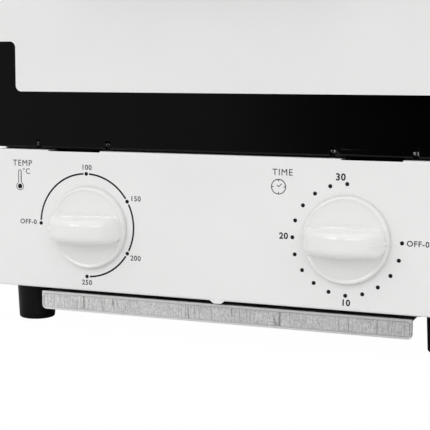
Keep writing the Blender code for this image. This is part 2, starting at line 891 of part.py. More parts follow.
def make_handle_screws(material):
    head_front = depth_y(door_setback + sheet + seam)
    tip = depth_y(skin_front - seam - handle_screw_depth)
    head_back = head_front + handle_screw_radius
    profile = [(0, tip), (handle_screw_radius, tip + handle_screw_radius / 2),
               (handle_screw_radius, head_front), (handle_screw_head, head_front),
               (handle_screw_head - seam, head_back - seam),
               (handle_screw_head / 2, head_back), (0, head_back)]
    for name, side in (("handle_screw_left", -1), ("handle_screw_right", 1)):
        centre = (side * handle_foot_x, 0, height_z(handle_height))
        finish(turned(name, profile, "Y", centre, small_steps), material, (centre[0], head_front, centre[2]))


def make_hinges(bracket_material, pin_material):
    """Each hinge is a leaf behind the front frame with two ears, and the pin that the ears hold."""
    axis_y, axis_z = depth_y(hinge_depth), height_z(hinge_height)
    leaf_front = depth_y(frame_face + sheet + seam)
    leaf_back = leaf_front + ear_thickness
    for word, side in (("left", -1), ("right", 1)):
        ends = sorted((side * (ear_inner - leaf_side), side * (ear_outer + leaf_side)))
        leaf = box("hinge_bracket_" + word, (ends[0], leaf_front, height_z(hinge_height - leaf_drop)),
                   (ends[1], leaf_back, height_z(hinge_height + leaf_rise)))
        for left, right in ear_spans(side, 0):
            low, high = axis_z - ear_radius, axis_z + ear_radius
            turns = [math.pi / 2 + math.pi * i / tiny_steps for i in range(tiny_steps + 1)]
            nose = [(axis_y + ear_radius * math.cos(a), axis_z + ear_radius * math.sin(a)) for a in turns]
            ear = prism("ear", nose + [(leaf_back, low), (leaf_back, high)], "X", left, right)
            leaf = join(leaf, ear)
        hole = cylinder("pin_hole", "X", (0, axis_y, axis_z), hinge_pin_radius + seam,
                        ends[0] - overrun, ends[1] + overrun)
        finish(cut(leaf, hole), bracket_material, (0, axis_y, axis_z))
        inner, outer = side * (ear_inner - hinge_head / 2), side * (ear_outer + seam)
        head = outer + side * hinge_head
        profile = [(0, inner), (hinge_pin_radius, inner), (hinge_pin_radius, outer),
                   (hinge_head_radius, outer), (hinge_head_radius - seam, head - side * seam), (0, head)]
        pin = turned("hinge_pin_" + word, profile, "X", (0, axis_y, axis_z), small_steps)
        finish(pin, pin_material, (0, axis_y, axis_z))


def make_chamber(material):
    """The open-fronted inner box, its mouth flange and the two pairs of shelf ribs."""
    wall = mouth_half + sheet
    low, high = height_z(mouth_low - sheet), height_z(mouth_high + sheet)
    front, back = depth_y(chamber_front), depth_y(chamber_back)
    liner = box("chamber_liner", (-wall, front, low), (wall, back, high))
    flange = box("flange", (-wall - chamber_flange, front, low - chamber_flange),
                 (wall + chamber_flange, front + sheet, high + chamber_flange))
    liner = join(liner, flange)
    liner = cut(liner, box("hollow", (-mouth_half, front - overrun, low + sheet),
                           (mouth_half, back - sheet, high - sheet)))
    rib_top = height_z(shelf_height - shelf_bar_radius) - seam
    guide_low = height_z(shelf_height + shelf_bar_radius + rib_lift)
    rib_ends = (front + rib_front, back - rib_back)
    reach = shelf_half - shelf_bar_radius / 2
    for side in (-1, 1):
        ends = sorted((side * (mouth_half + sheet / 2), side * reach))
        for z in (rib_top - rib_height, guide_low):
            liner = join(liner, box("rib", (ends[0], rib_ends[0], z),
                                    (ends[1], rib_ends[1], z + rib_height)))
    tools = []
    for x, z in element_places():
        tools.append(cylinder("bush_hole", "Y", (x, 0, z), bush_radius + seam, back - sheet - overrun,
                              back + overrun))
    tools.append(cylinder("capillary_hole", "Y", (bulb_x, 0, height_z(bulb_height)), capillary_radius + seam,
                          back - sheet - overrun, back + overrun))
    return finish(cut(liner, *tools), material)


def element_levels():
    gap = element_floor_gap
    return height_z(mouth_low + gap), height_z(mouth_high - gap)


def element_places():
    return [(x, z) for z in element_levels() for x in (-element_half, element_half)]


def make_elements(tube_material, bush_material, support_material):
    """Two hairpin elements, low and high, whose tails leave through the rear wall in ceramic bushes."""
    tail = depth_y(chamber_back + element_tail)
    front = depth_y(element_front)
    for word, z in zip(("lower", "upper"), element_levels()):
        corners = rounded([(-element_half, tail), (-element_half, front), (element_half, front),
                           (element_half, tail)],
                          [0, element_bend, element_bend, 0], tiny_steps, closed=False)
        line = [(x, y, z) for x, y in corners]
        finish(tube("heating_element_" + word, line, element_radius), tube_material)
        make_support(word, z, support_material)
    wall_front, wall_back = depth_y(chamber_back - sheet), depth_y(chamber_back)
    bore = element_radius + seam
    flange_back = wall_back + seam + bush_flange
    profile = [(bore, wall_front - seam), (bush_radius, wall_front - seam), (bush_radius, wall_back + seam),
               (bush_flange_radius, wall_back + seam), (bush_flange_radius, flange_back - seam),
               (bush_flange_radius - seam * 2, flange_back), (bore, flange_back)]
    names = ("lower_left", "lower_right", "upper_left", "upper_right")
    for name, (x, z) in zip(names, element_places()):
        finish(turned("element_bush_" + name, profile, "Y", (x, 0, z), small_steps), bush_material)


def make_support(word, z, material):
    """A strip across the chamber with two eyes that hold an element off the nearest wall."""
    start = depth_y(support_depth)
    end = start + support_sheet
    way = 1 if word == "lower" else -1
    wall = height_z(mouth_low if word == "lower" else mouth_high) + way * seam
    edge = wall + way * support_strip
    half = element_half + support_ring
    opening = math.asin(support_strip / support_ring)
    turn = 2 * (math.pi - opening) / small_steps
    angles = [-math.pi / 2 - opening - turn * i for i in range(small_steps + 1)]
    outline = [(-half, wall), (-half, edge)]
    for x in (-element_half, element_half):
        outline.append((x - support_strip, edge))
        outline += [(x + support_ring * math.cos(a), z + way * support_ring * math.sin(a)) for a in angles]
        outline.append((x + support_strip, edge))
    outline += [(half, edge), (half, wall)]
    strip = prism("element_support_" + word, outline, "Y", start, end)
    holes = [cylinder("hole", "Y", (side * element_half, 0, z), element_radius + seam, start - overrun,
                      end + overrun) for side in (-1, 1)]
    finish(cut(strip, *holes), material)


def make_lagging(material):
    """A blanket over the chamber's sides and top."""
    inner = mouth_half + sheet + lagging_gap
    outer = inner + lagging_side
    roof = height_z(mouth_high + sheet) + lagging_gap
    top = roof + lagging_top
    low = height_z(mouth_low)
    outline = rounded([(inner, low), (outer, low), (outer, top), (-outer, top), (-outer, low), (-inner, low),
                       (-inner, roof), (inner, roof)],
                      [0, 0, lagging_corner, lagging_corner, 0, 0, 0, 0])
    finish(prism("chamber_insulation", outline, "Y", depth_y(lagging_front), depth_y(chamber_back)),
           material)


def make_shelf(material):
    """A wire shelf: a round-cornered rim and cross wires welded on top of it."""
    z = height_z(shelf_height)
    rim_line = rectangle(-shelf_half, depth_y(shelf_front), shelf_half, depth_y(shelf_back), shelf_corner)
    shelf = settle(tube("wire_shelf", [(x, y, z) for x, y in rim_line], shelf_bar_radius, cyclic=True))
    gap = 2 * shelf_half / (shelf_wire_count + 1)
    lift = z + shelf_bar_radius
    for i in range(shelf_wire_count):
        x = -shelf_half + gap * (i + 1)
        wire = cylinder("wire", "Y", (x, 0, lift), shelf_wire_radius,
                        depth_y(shelf_front - shelf_bar_radius / 2),
                        depth_y(shelf_back + shelf_bar_radius / 2), tiny_steps)
        shelf = join(shelf, wire)
    return finish(shelf, material, (0, depth_y(shelf_front), z))


def make_instrument_tray(material):
    """A deep-drawn pan with a flat rim, which lies on the shelf."""
    low = height_z(pan_floor)
    high = low + pan_height
    left, front, back = -pan_half, depth_y(pan_front), depth_y(pan_back)
    pan = prism("instrument_tray", rectangle(left, front, -left, back, pan_corner), "Z", low, high, bend)
    rim = prism("rim", rectangle(left - pan_rim, front - pan_rim, -left + pan_rim, back + pan_rim,
                                 pan_corner + pan_rim), "Z", high - sheet, high)
    hollow = prism("hollow", rectangle(left + sheet, front + sheet, -left - sheet, back - sheet,
                                       pan_corner - sheet), "Z", low + sheet, high + overrun)
    return finish(cut(join(pan, rim), hollow), material, (0, front, low))


def make_shelf_hooks(material):
    """Two bent strips on the door that reach over the shelf's front bar and draw it out."""
    gap = 2 * shelf_half / (shelf_wire_count + 1)
    foot = depth_y(plug_face) + seam
    bar = depth_y(shelf_front) + hook_slack
    web = height_z(shelf_height) + shelf_bar_radius + hook_rise
    tip = height_z(shelf_height) - hook_drop
    path = [(foot, web + hook_foot), (foot, web - hook_sheet), (bar, web - hook_sheet), (bar, tip)]
    outline = strip_outline(path, hook_sheet, hook_sheet)
    for name, side in (("shelf_hook_left", -1), ("shelf_hook_right", 1)):
        middle = side * gap * (shelf_wire_count // 2 - 1 / 2)
        hook = prism(name, outline, "X", middle - hook_width / 2, middle + hook_width / 2)
        finish(hook, material, (middle, foot, web))


def knob_profile():
    """The disc of a knob, from its rim to the dished face, as radius and height off the panel."""
    rim = knob_radius
    face = knob_rim - knob_dish
    return [(0, 0), (rim, 0), (rim, knob_rim - knob_chamfer), (rim - knob_chamfer, knob_rim),
            *((rim * share, face) for share in knob_face_shares), (0, face)]


def grip_rise(share):
    """Height of the grip's crest at a share of its half length."""
    arch = math.cos(math.pi / 2 * share) ** grip_crest_share
    return grip_end_height + (grip_height - grip_end_height) * arch


def grip_bar(middle, back):
    """The grip as a loft of domed sections along its length."""
    shape = bmesh.new()
    rings = []
    base = knob_rim / 2
    for i in range(grip_stations + 1):
        share = math.cos(math.pi * i / grip_stations)
        crest = grip_rise(abs(share))
        width = grip_half_width * math.sqrt(max(1 - abs(share) ** grip_blunt_share, grip_nose_share))
        ring = []
        for j in range(grip_points + 1):
            angle = math.pi * j / grip_points
            across = math.copysign(abs(math.cos(angle)) ** grip_side_share, math.cos(angle)) * width
            rise = base + (crest - base) * math.sin(angle) ** grip_dome_share
            ring.append(shape.verts.new((middle[0] + share * grip_half_length, back - rise,
                                         middle[2] + across)))
        rings.append(ring)
    for first, second in zip(rings, rings[1:]):
        for j in range(grip_points):
            shape.faces.new((first[j], first[j + 1], second[j + 1], second[j]))
        shape.faces.new((first[0], second[0], second[-1], first[-1]))
    shape.faces.new(rings[0])
    shape.faces.new(rings[-1])
    return mesh_object("grip", shape)


def shaft_outline(middle, margin):
    """The D section of a control shaft, with its flat on top, grown by a margin."""
    radius = shaft_radius + margin
    flat = shaft_radius - shaft_flat + margin
    opening = math.acos(flat / radius)
    turn = 2 * (math.pi - opening) / small_steps
    angles = [math.pi / 2 + opening + turn * i for i in range(small_steps + 1)]
    return [(middle[0] + radius * math.cos(a), middle[2] + radius * math.sin(a)) for a in angles]


def make_knob(name, x, z, pointer_side, material):
    """A dished disc with an arched grip across it and a small rib that points at the dial."""
    back = depth_y(-knob_lift)
    middle = (x, 0, height_z(z))
    knob = turned(name, [(radius, back - rise) for radius, rise in knob_profile()], "Y", middle, fine_steps)
    knob = join(knob, grip_bar(middle, back))
    rib_end = x + pointer_side * (grip_half_length - pointer_width)
    rib_start = rib_end - pointer_side * pointer_length
    ends = sorted((rib_start, rib_end))
    rib_top = back - grip_rise(1 - pointer_length / grip_half_length) - pointer_rise
    rib = box("rib", (ends[0], rib_top, middle[2] - pointer_width / 2),
              (ends[1], back - knob_rim / 2, middle[2] + pointer_width / 2), pointer_rise, "+Y")
    knob = join(knob, rib)
    socket = prism("socket", shaft_outline(middle, seam), "Y", back - shaft_reach, back + overrun)
    return finish(cut(knob, socket), material, (x, back, middle[2]))


def make_shaft(name, x, z, material):
    middle = (x, 0, height_z(z))
    start = depth_y(seam - knob_lift - shaft_reach)
    end = depth_y(sheet + shaft_seat)
    finish(prism(name, shaft_outline(middle, 0), "Y", start, end), material, (x, end, middle[2]))


def control_body(name, x, z, width, height, depth):
    """A control's case behind the panel, with the neck that passes the panel and takes the shaft."""
    middle = (x, 0, height_z(z))
    front = depth_y(sheet + seam)
    case = box(name, (x - width / 2, front, middle[2] - height / 2),
               (x + width / 2, front + depth, middle[2] + height / 2), control_corner, segments=1)
    neck = cylinder("neck", "Y", middle, shaft_hole_radius - seam, depth_y(-boss_lift),
                    front + control_corner)
    bore = cylinder("bore", "Y", middle, shaft_radius + seam, depth_y(-overrun), front + shaft_seat)
    return cut(join(case, neck), bore)


def terminal_tab(x, z, back):
    return box("tab", (x - tab_width / 2, back - tab_sheet, z - tab_sheet / 2),
               (x + tab_width / 2, back + tab_length, z + tab_sheet / 2))


def make_thermostat(case_material, metal_material):
    """A bulb thermostat: its case with a bellows and two tabs, the capillary and the sensing bulb."""
    body = control_body("thermostat_body", temperature_x, temperature_z, thermostat_width, thermostat_height,
                        thermostat_depth)
    back = depth_y(sheet + seam + thermostat_depth)
    centre = (temperature_x, 0, height_z(temperature_z))
    profile = [(0, back - sheet), (bellows_radius, back - sheet), (bellows_radius, back + bellows_depth / 2),
               (bellows_face_radius, back + bellows_depth), (0, back + bellows_depth)]
    body = join(body, turned("bellows", profile, "Y", centre, round_steps))
    for side in (-1, 1):
        x = temperature_x + side * (thermostat_width / 2 - tab_offset / 2)
        body = join(body, terminal_tab(x, centre[2] - thermostat_height / 2 + tab_lift, back))
    finish(body, case_material, (temperature_x, back, centre[2]))
    bulb_z = height_z(bulb_height)
    rear = depth_y(chamber_back)
    bulb_end = rear - sheet - bulb_inset
    start_y = back + bellows_depth + seam
    low = height_z(sheet + base_flange)
    route = [(temperature_x, start_y, centre[2]), (temperature_x, start_y + bulb_inset, centre[2]),
             ((temperature_x + bulb_x) / 2, (start_y + rear) / 2, low + bulb_inset),
             (bulb_x, rear - bulb_inset, low + bulb_inset * 2),
             (bulb_x, rear + bulb_inset, (bulb_z + low) / 2),
             (bulb_x, rear + bulb_inset, bulb_z - bulb_inset),
             (bulb_x, rear + bulb_inset / 2, bulb_z - capillary_radius), (bulb_x, rear, bulb_z),
             (bulb_x, bulb_end + seam, bulb_z)]
    finish(tube("capillary_tube", smooth_route(route, 3), capillary_radius, resolution=1), metal_material)
    bulb_start = bulb_end - bulb_length
    profile = [(0, bulb_start), (bulb_radius / 2, bulb_start), (bulb_radius, bulb_start + bulb_radius / 2),
               (bulb_radius, bulb_end - bulb_radius), (capillary_radius, bulb_end), (0, bulb_end)]
    finish(turned("sensor_bulb", profile, "Y", (bulb_x, 0, bulb_z), small_steps), metal_material)
    make_bulb_clip((bulb_start + bulb_end) / 2, bulb_z, metal_material)


def make_bulb_clip(middle_y, z, material):
    """A ring round the bulb on a foot against the chamber's side wall."""
    wall = -mouth_half + seam
    start, end = middle_y - clip_width / 2, middle_y + clip_width / 2
    ring = cylinder("bulb_clip", "Y", (bulb_x, 0, z), bulb_radius + seam + clip_wall, start, end)
    web = box("web", (wall, start, z - clip_wall / 2), (bulb_x, end, z + clip_wall / 2))
    foot = box("foot", (wall, start, z - clip_foot), (wall + clip_wall, end, z + clip_foot))
    bore = cylinder("bore", "Y", (bulb_x, 0, z), bulb_radius + seam, start - overrun, end + overrun)
    finish(cut(join(ring, web, foot), bore), material)


def dome(radius, rim, depth):
    """Half the outline of a dome, from its rim to just short of its crown."""
    angles = [math.pi / 2 * i / corner_steps for i in range(corner_steps)]
    return [(radius * math.cos(a), rim + depth * math.sin(a)) for a in angles]


def make_timer(case_material, metal_material):
    """A wind-up timer with its bell on a post behind it."""
    body = control_body("timer_body", timer_x, timer_z, timer_width, timer_height, timer_depth)
    back = depth_y(sheet + seam + timer_depth)
    centre = (timer_x, 0, height_z(timer_z))
    for side in (-1, 1):
        x = timer_x + side * (timer_width / 2 - tab_offset / 2)
        body = join(body, terminal_tab(x, centre[2] - timer_height / 2 + tab_lift, back))
    finish(body, case_material, (timer_x, back, centre[2]))
    start = back + seam
    rim = back + bell_gap
    crown = rim + bell_depth
    inner = bell_radius - bell_wall
    profile = [(0, start), (bell_post_radius, start), (bell_post_radius, crown - bell_wall)]
    profile += dome(inner, rim, bell_depth - bell_wall)[::-1] + dome(bell_radius, rim, bell_depth)
    profile += [(0, crown)]
    finish(turned("timer_bell", profile, "Y", centre, round_steps), metal_material,
           (timer_x, start, centre[2]))


def make_catch(material):
    """A stud on the door and the spring clip behind the front frame that it slides into."""
    z = height_z(catch_height)
    seat = depth_y(door_setback + door_depth - sheet) + seam
    tip = seat + stud_reach
    profile = [(0, seat), (stud_base_radius, seat), (stud_base_radius, seat + seam),
               (stud_radius, seat + 2 * seam), (stud_radius, tip - 2 * stud_tip_radius),
               (stud_tip_radius, tip - stud_tip_radius / 2),
               (stud_tip_radius / 2, tip), (0, tip)]
    finish(turned("catch_stud", profile, "Y", (0, 0, z), small_steps), material, (0, seat, z))
    front = depth_y(chamber_front)
    back = front + catch_depth
    path = [(front, z + catch_half_gap + catch_flange), (front, z + catch_half_gap),
            (back, z + catch_half_gap), (back, z - catch_half_gap), (front, z - catch_half_gap)]
    clip = prism("catch_clip", strip_outline(path, sheet, sheet), "X", -catch_width / 2, catch_width / 2)
    finish(clip, material, (0, front, z))


def make_cord_gland(material):
    """The bush in the back panel that a mains lead would pass through."""
    inner = depth_y(body_depth - gland_neck)
    outer = depth_y(body_depth) + seam
    end = depth_y(body_depth + gland_flange)
    profile = [(gland_bore, inner), (gland_radius, inner), (gland_radius, outer),
               (gland_flange_radius, outer), (gland_flange_radius, (outer + end) / 2),
               (gland_flange_radius - (end - outer) / 2, end),
               (gland_bore, end)]
    centre = (gland_x, 0, height_z(gland_height))
    finish(turned("cord_gland", profile, "Y", centre, round_steps), material, (centre[0], outer, centre[2]))


def block_places():
    """Centres of the terminal block's three wire holes."""
    z = height_z(sheet + seam + block_height / 2)
    return [(block_x + block_pitch * i, z) for i in (-1, 0, 1)]


def make_terminal_block(material):
    front = depth_y(body_depth - block_inset - block_length)
    back = front + block_length
    low = height_z(sheet + seam)
    block = box("terminal_block", (block_x - block_width / 2, front, low),
                (block_x + block_width / 2, back, low + block_height), sheet, segments=1)
    tools = []
    for x, z in block_places():
        tools.append(cylinder("hole", "Y", (x, 0, z), block_hole, front - overrun, back + overrun,
                              tiny_steps))
        tools.append(cylinder("well", "Z", (x, (front + back) / 2, 0), block_hole,
                              low + block_height - block_well, low + block_height + overrun, tiny_steps))
    finish(cut(block, *tools), material, (block_x, front, low))


def lead(x, y, z, reach):
    """The straight start of a wire, along Y from where it is held."""
    return [(x, y, z), (x, y + reach / 2, z), (x, y + reach, z)]


def tab_place(x, z, width, height, depth, side):
    """Where a wire meets the end of one of a control's tabs."""
    return (x + side * (width / 2 - tab_offset / 2), depth_y(sheet + seam + depth) + tab_length + seam,
            height_z(z) - height / 2 + tab_lift)


def tail_route(x, z, below):
    """The end of a wire that rises behind the chamber and turns in to an element's tail."""
    tail = depth_y(chamber_back + element_tail)
    return [(x, tail + wire_lift, below), (x, tail + wire_lift, z - wire_sag / 2),
            (x, tail + wire_lift / 2, z - wire_radius / 2), (x, tail + seam, z)]


def make_wires(material):
    """The leads between the terminal block, the controls and the elements' tails."""
    front = depth_y(body_depth - block_inset - block_length)
    back = front + block_length
    left, middle, right = block_places()
    thermostat_tab = tab_place(temperature_x, temperature_z, thermostat_width, thermostat_height,
                               thermostat_depth, -1)
    timer_tabs = [tab_place(timer_x, timer_z, timer_width, timer_height, timer_depth, side)
                  for side in (-1, 1)]
    low, high = element_levels()
    run_y = (thermostat_tab[1] + front) / 2
    run_z = left[1] + wire_sag / 2
    held = wire_sag / 4
    routes = {
        "wire_thermostat": lead(left[0], front + held, left[1], -wire_sag) + [(temperature_x, run_y, run_z)]
        + lead(*thermostat_tab, wire_sag)[::-1],
        "wire_timer": lead(middle[0], front + held, middle[1], -wire_sag) + [(0, run_y, run_z)]
        + lead(*timer_tabs[0], wire_sag)[::-1],
        "wire_lower_element": lead(*timer_tabs[1], wire_sag) + [(timer_tabs[1][0], run_y, run_z)]
        + tail_route(element_half, low, (run_z + low) / 2),
        "wire_upper_element": lead(right[0], back - held, right[1], wire_sag)
        + tail_route(-element_half, high, (low + high) / 2),
    }
    for name, route in routes.items():
        finish(tube(name, smooth_route(route, 2), wire_radius, resolution=1), material)


def main():
    clear_scene()
    white = make_material("white_enamel", (0.83, 0.83, 0.82), 0.35, 0.0)
    black = make_material("black_enamel", (0.012, 0.012, 0.012), 0.2, 0.0)
    zinc = make_material("zinc_plate", (0.62, 0.63, 0.63), 0.45, 0.9)
    steel = make_material("steel", (0.66, 0.66, 0.65), 0.3, 1.0)
    ceramic = make_material("ceramic", (0.86, 0.84, 0.78), 0.6, 0.0)
    rubber = make_material("rubber", (0.02, 0.02, 0.02), 0.6, 0.0)
    plastic = make_material("knob_plastic", (0.84, 0.83, 0.81), 0.3, 0.0)
    phenolic = make_material("handle_plastic", (0.02, 0.02, 0.02), 0.4, 0.0)
    copper = make_material("copper", (0.72, 0.42, 0.28), 0.35, 1.0)
    brass = make_material("brass", (0.78, 0.62, 0.34), 0.35, 1.0)
    sleeve = make_material("wire_sleeve", (0.80, 0.78, 0.72), 0.7, 0.0)
    wool = make_material("mineral_wool", (0.70, 0.66, 0.52), 0.95, 0.0)
    make_housing_wrap(white)
    make_control_panel(white)
    make_front_frame(black)
    make_base_plate(zinc)
    make_back_panel(zinc)
    make_feet(rubber)
    make_catch_tray(zinc)
    make_tray_rails(zinc)
    make_door_frame(black)
    make_door_skin(white)
    make_door_liner(zinc)
    make_door_pad(wool)
    make_handle(phenolic)
    make_handle_screws(steel)
    make_hinges(black, steel)
    make_chamber(zinc)
    make_elements(steel, ceramic, steel)
    make_lagging(wool)
    make_shelf(steel)
    make_instrument_tray(steel)
    make_shelf_hooks(steel)
    make_knob("temperature_knob", temperature_x, temperature_z, -1, plastic)
    make_knob("timer_knob", timer_x, timer_z, 1, plastic)
    make_shaft("temperature_shaft", temperature_x, temperature_z, steel)
    make_shaft("timer_shaft", timer_x, timer_z, steel)
    make_thermostat(ceramic, copper)
    make_timer(zinc, brass)
    make_catch(steel)
    make_cord_gland(rubber)
    make_terminal_block(ceramic)
    make_wires(sleeve)


main()
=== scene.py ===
"""Looks of a bench-top dry heat sterilizer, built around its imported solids.

Metres, +Z up, in the part's frame. Z = 0 is the surface under the feet, X = 0 is the middle, and
+Y runs from the front to the back. Heights on the control panel are counted from its lower edge.
"""

import json
import math

import bmesh
import bpy
from mathutils import Matrix, Vector


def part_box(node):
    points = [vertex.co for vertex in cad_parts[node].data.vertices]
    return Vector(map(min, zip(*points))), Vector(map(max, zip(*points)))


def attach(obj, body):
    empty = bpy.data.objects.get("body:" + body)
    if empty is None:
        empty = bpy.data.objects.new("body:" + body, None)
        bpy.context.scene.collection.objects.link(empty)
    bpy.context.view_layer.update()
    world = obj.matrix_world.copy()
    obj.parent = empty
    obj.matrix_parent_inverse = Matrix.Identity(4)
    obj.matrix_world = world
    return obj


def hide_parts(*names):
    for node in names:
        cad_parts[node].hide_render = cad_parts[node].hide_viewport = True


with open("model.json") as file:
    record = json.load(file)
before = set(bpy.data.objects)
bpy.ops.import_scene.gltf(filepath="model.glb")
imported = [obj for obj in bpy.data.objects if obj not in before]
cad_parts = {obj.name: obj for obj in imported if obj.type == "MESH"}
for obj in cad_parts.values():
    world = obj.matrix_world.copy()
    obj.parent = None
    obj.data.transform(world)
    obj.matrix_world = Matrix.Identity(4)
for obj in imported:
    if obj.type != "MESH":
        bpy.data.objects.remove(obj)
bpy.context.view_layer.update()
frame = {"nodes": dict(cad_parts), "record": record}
panel_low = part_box("base_plate")[0].z
replaced = set()  # nodes that a dressed piece stands for

# Camera
focal_pixels = 1159.0
frame_pixels = 430.0
sensor_width = 36.0
camera_place = (0.2074, -0.61765, 0.1321)
camera_yaw = math.radians(21.09)
camera_pitch = math.radians(6.70)
camera_roll = math.radians(0.30)
camera_near = 0.01

# Lights: three soft ones, and two sparks that only make glints
light_aim = (0, -0.05, 0.08)
key_place = (-1.3, -2.4, 1.5)
key_power = 12.0
fill_place = (1.2, -2.2, 1.0)
fill_power = 6.0
front_light_side = 1.8
top_place = (0.1, -0.1, 1.6)
top_power = 2.5
top_light_side = 1.4
left_spark_place = (-0.55, -1.3, 0.40)
left_spark_power = 2.6
right_spark_place = (0.54, -1.25, 0.29)
right_spark_power = 1.3
spark_width = 0.6
spark_height = 0.13

# Surround: brightness above, behind, and along the horizon from left to right
sky_light = 0.92
sky_start = 0.03
sky_full = 0.4
back_light = 0.86
back_start = -0.2
back_full = 0.3
horizon_shares = ((0.0, 0.75), (0.15, 0.5), (0.24, 0.38), (0.32, 0.3), (0.36, 0.1), (0.4, 0.01),
                  (0.55, 0.01), (0.75, 0.3), (1.0, 0.8))

# Floor
floor_radius = 0.9
floor_thickness = 0.01
floor_wash_share = 0.99
floor_glow = 1.0
floor_noise_scale = 3.0
floor_greys = (0.74, 0.77)
floor_roughness = 0.9
floor_specular = 0.1

# Noise fields: scale, octaves and roughness, and the middle range that a finish spreads out
noise_octaves = 2.0
noise_roughness = 0.5
noise_low_share = 0.3
noise_middle_share = 0.5
noise_high_share = 0.7
wander_noise = (28.0, 4.0)
gloss_noise = (60.0, 3.0)
bump_strength = 1.0

# Plain finishes: colour and roughness, each from low to high, and the grain with its depth
plain_specular = 0.5
plain_finishes = {
    "white_enamel": {"dark": (0.89, 0.89, 0.885), "light": (0.91, 0.91, 0.905),
                     "roughness": (0.34, 0.42), "grain": 1100.0, "depth": 0.00001},
    "black_enamel": {"dark": 0.0007, "light": 0.0011, "roughness": (0.07, 0.09),
                     "grain": 900.0, "depth": 0.000001, "specular": 0.22},
    "steel": {"dark": (0.55, 0.55, 0.54), "light": (0.66, 0.66, 0.65), "roughness": (0.24, 0.36),
              "grain": 1500.0, "depth": 0.000006, "metallic": 1.0},
    "ceramic": {"dark": (0.78, 0.75, 0.68), "light": (0.84, 0.82, 0.76), "roughness": (0.5, 0.7),
                "grain": 1200.0, "depth": 0.00003},
    "rubber": {"dark": 0.002, "light": 0.004, "roughness": (0.4, 0.5),
               "grain": 1400.0, "depth": 0.00002, "specular": 0.14},
    "knob_plastic": {"dark": (0.885, 0.882, 0.87), "light": (0.9, 0.897, 0.885),
                     "roughness": (0.08, 0.12), "grain": 1600.0, "depth": 0.000001},
    "handle_plastic": {"dark": 0.012, "light": 0.02, "roughness": (0.32, 0.42),
                       "grain": 1800.0, "depth": 0.00001},
    "copper": {"dark": (0.62, 0.34, 0.22), "light": (0.74, 0.44, 0.30), "roughness": (0.28, 0.42),
               "grain": 1200.0, "depth": 0.00001, "metallic": 1.0},
    "brass": {"dark": (0.68, 0.52, 0.27), "light": (0.78, 0.62, 0.34), "roughness": (0.26, 0.38),
              "grain": 1200.0, "depth": 0.00001, "metallic": 1.0},
    "wire_sleeve": {"dark": (0.66, 0.63, 0.56), "light": (0.82, 0.80, 0.74),
                    "roughness": (0.7, 0.85), "grain": 2400.0, "depth": 0.0001},
    "mineral_wool": {"dark": (0.50, 0.45, 0.31), "light": (0.74, 0.69, 0.54),
                     "roughness": (0.9, 1.0), "grain": 500.0, "depth": 0.0012},
}

# Zinc plate
zinc_cell_scale = 150.0
zinc_cell_scatter = 1.0
zinc_stops = ((0.2, (0.53, 0.535, 0.54)), (0.8, (0.62, 0.625, 0.63)))
zinc_gloss_noise = (90.0, 3.0)
zinc_roughness = (0.34, 0.5)
zinc_metallic = 0.85
zinc_grain = 700.0
zinc_grain_depth = 0.00002

# Creased zinc of the catch tray
strand_stretch = (1.0, 1.0, 0.2)
strand_noise = (1500.0, 3.0, 0.7)
strand_stops = ((0.34, (0.66, 0.67, 0.66)), (0.5, (0.82, 0.83, 0.82)), (0.64, (0.92, 0.93, 0.92)))
border_stops = ((0.32, (0.76, 0.77, 0.76)), (0.5, (0.81, 0.82, 0.81)), (0.66, (0.85, 0.86, 0.85)))
mottle_noise = (1100.0, 3.0, 0.6)
mottle_stops = ((0.38, 0.74), (0.56, 1.0))
mottle_depth = 0.00003
patch_noise = (90.0, 2.0)
patch_stops = ((0.35, 0.94), (0.65, 1.0))
crease_octaves = 1.0
crease_roughness = 0.4
creases = (
    {"stretch": (1.0, 1.0, 0.04), "scale": 230.0, "width": 0.012, "darkening": 0.6},
    {"stretch": (1.0, 1.0, 0.08), "scale": 520.0, "width": 0.014, "darkening": 0.3},
    {"stretch": (0.12, 1.0, 1.0), "scale": 380.0, "width": 0.008, "darkening": 0.22},
)
spot_noise = (26.0, 5.0, 0.6)
spot_stops = ((0.35, 0.8), (0.6, 1.0))
# Painted shade on the pan just behind the lip, under the panel, then a heat stain further back; the shares
# run from the lip backwards
shade_and_stain_start = -0.0745
shade_and_stain_length = 0.1
shade_and_stain_shares = ((0.0, 1.0), (0.003, 0.06), (0.22, 0.06), (0.55, 0.42), (1.0, 0.6))
# Painted shade on the tray: darker towards its right, darkest in a thin band along its right edge
lip_shade_share = 0.77
lip_edge_shade_share = 0.6
lip_shaded_edge = 0.0004
tray_roughness = (0.38, 0.55)
tray_metallic = 0.15

# Facets and segments of round pieces
fine_steps = 96
round_steps = 48
small_steps = 24
corner_steps = 10
round_segments = 6
bend_segments = 3
break_segments = 2
bevel_round_share = 0.5

# Angles from which an edge counts as sharp, and clean-up of copied meshes
sheet_angle = math.radians(30)
piece_angle = math.radians(35)
round_angle = math.radians(40)
moulded_angle = math.radians(50)
flat_angle = math.radians(0.5)
weld_distance = 0.000002

# Sheet metal
sheet = 0.0008
bend = 0.001
seam = 0.0003
overrun = 0.002
edge_break = 0.00012

# Control panel
panel_hem_half = 0.1205
lug_left = -0.0024
lug_right = 0.0052
lug_drop = 0.0014
lug_slope = 0.0019
lug_corner = 0.0012
lug_inset = 0.0002
shaft_hole_radius = 0.0042
knuckle_inner = 0.0647
knuckle_outer = 0.094
relief_depth = 0.00065
relief_side = 0.0005
relief_fold = 0.0018

# Housing
body_corner = 0.006
vent_width = 0.003
vent_length = 0.026
vent_pitch = 0.011
vent_count = 8
vent_low = 0.022
vent_shift = -0.00495
vent_round_share = 0.49

# Door skin
skin_notch_half = 0.1129
skin_notch_rise = 0.0261
skin_corner = 0.0032
skin_edge = 0.0003
screw_hole_radius = 0.0023
handle_foot_x = 0.055
handle_height = 0.184

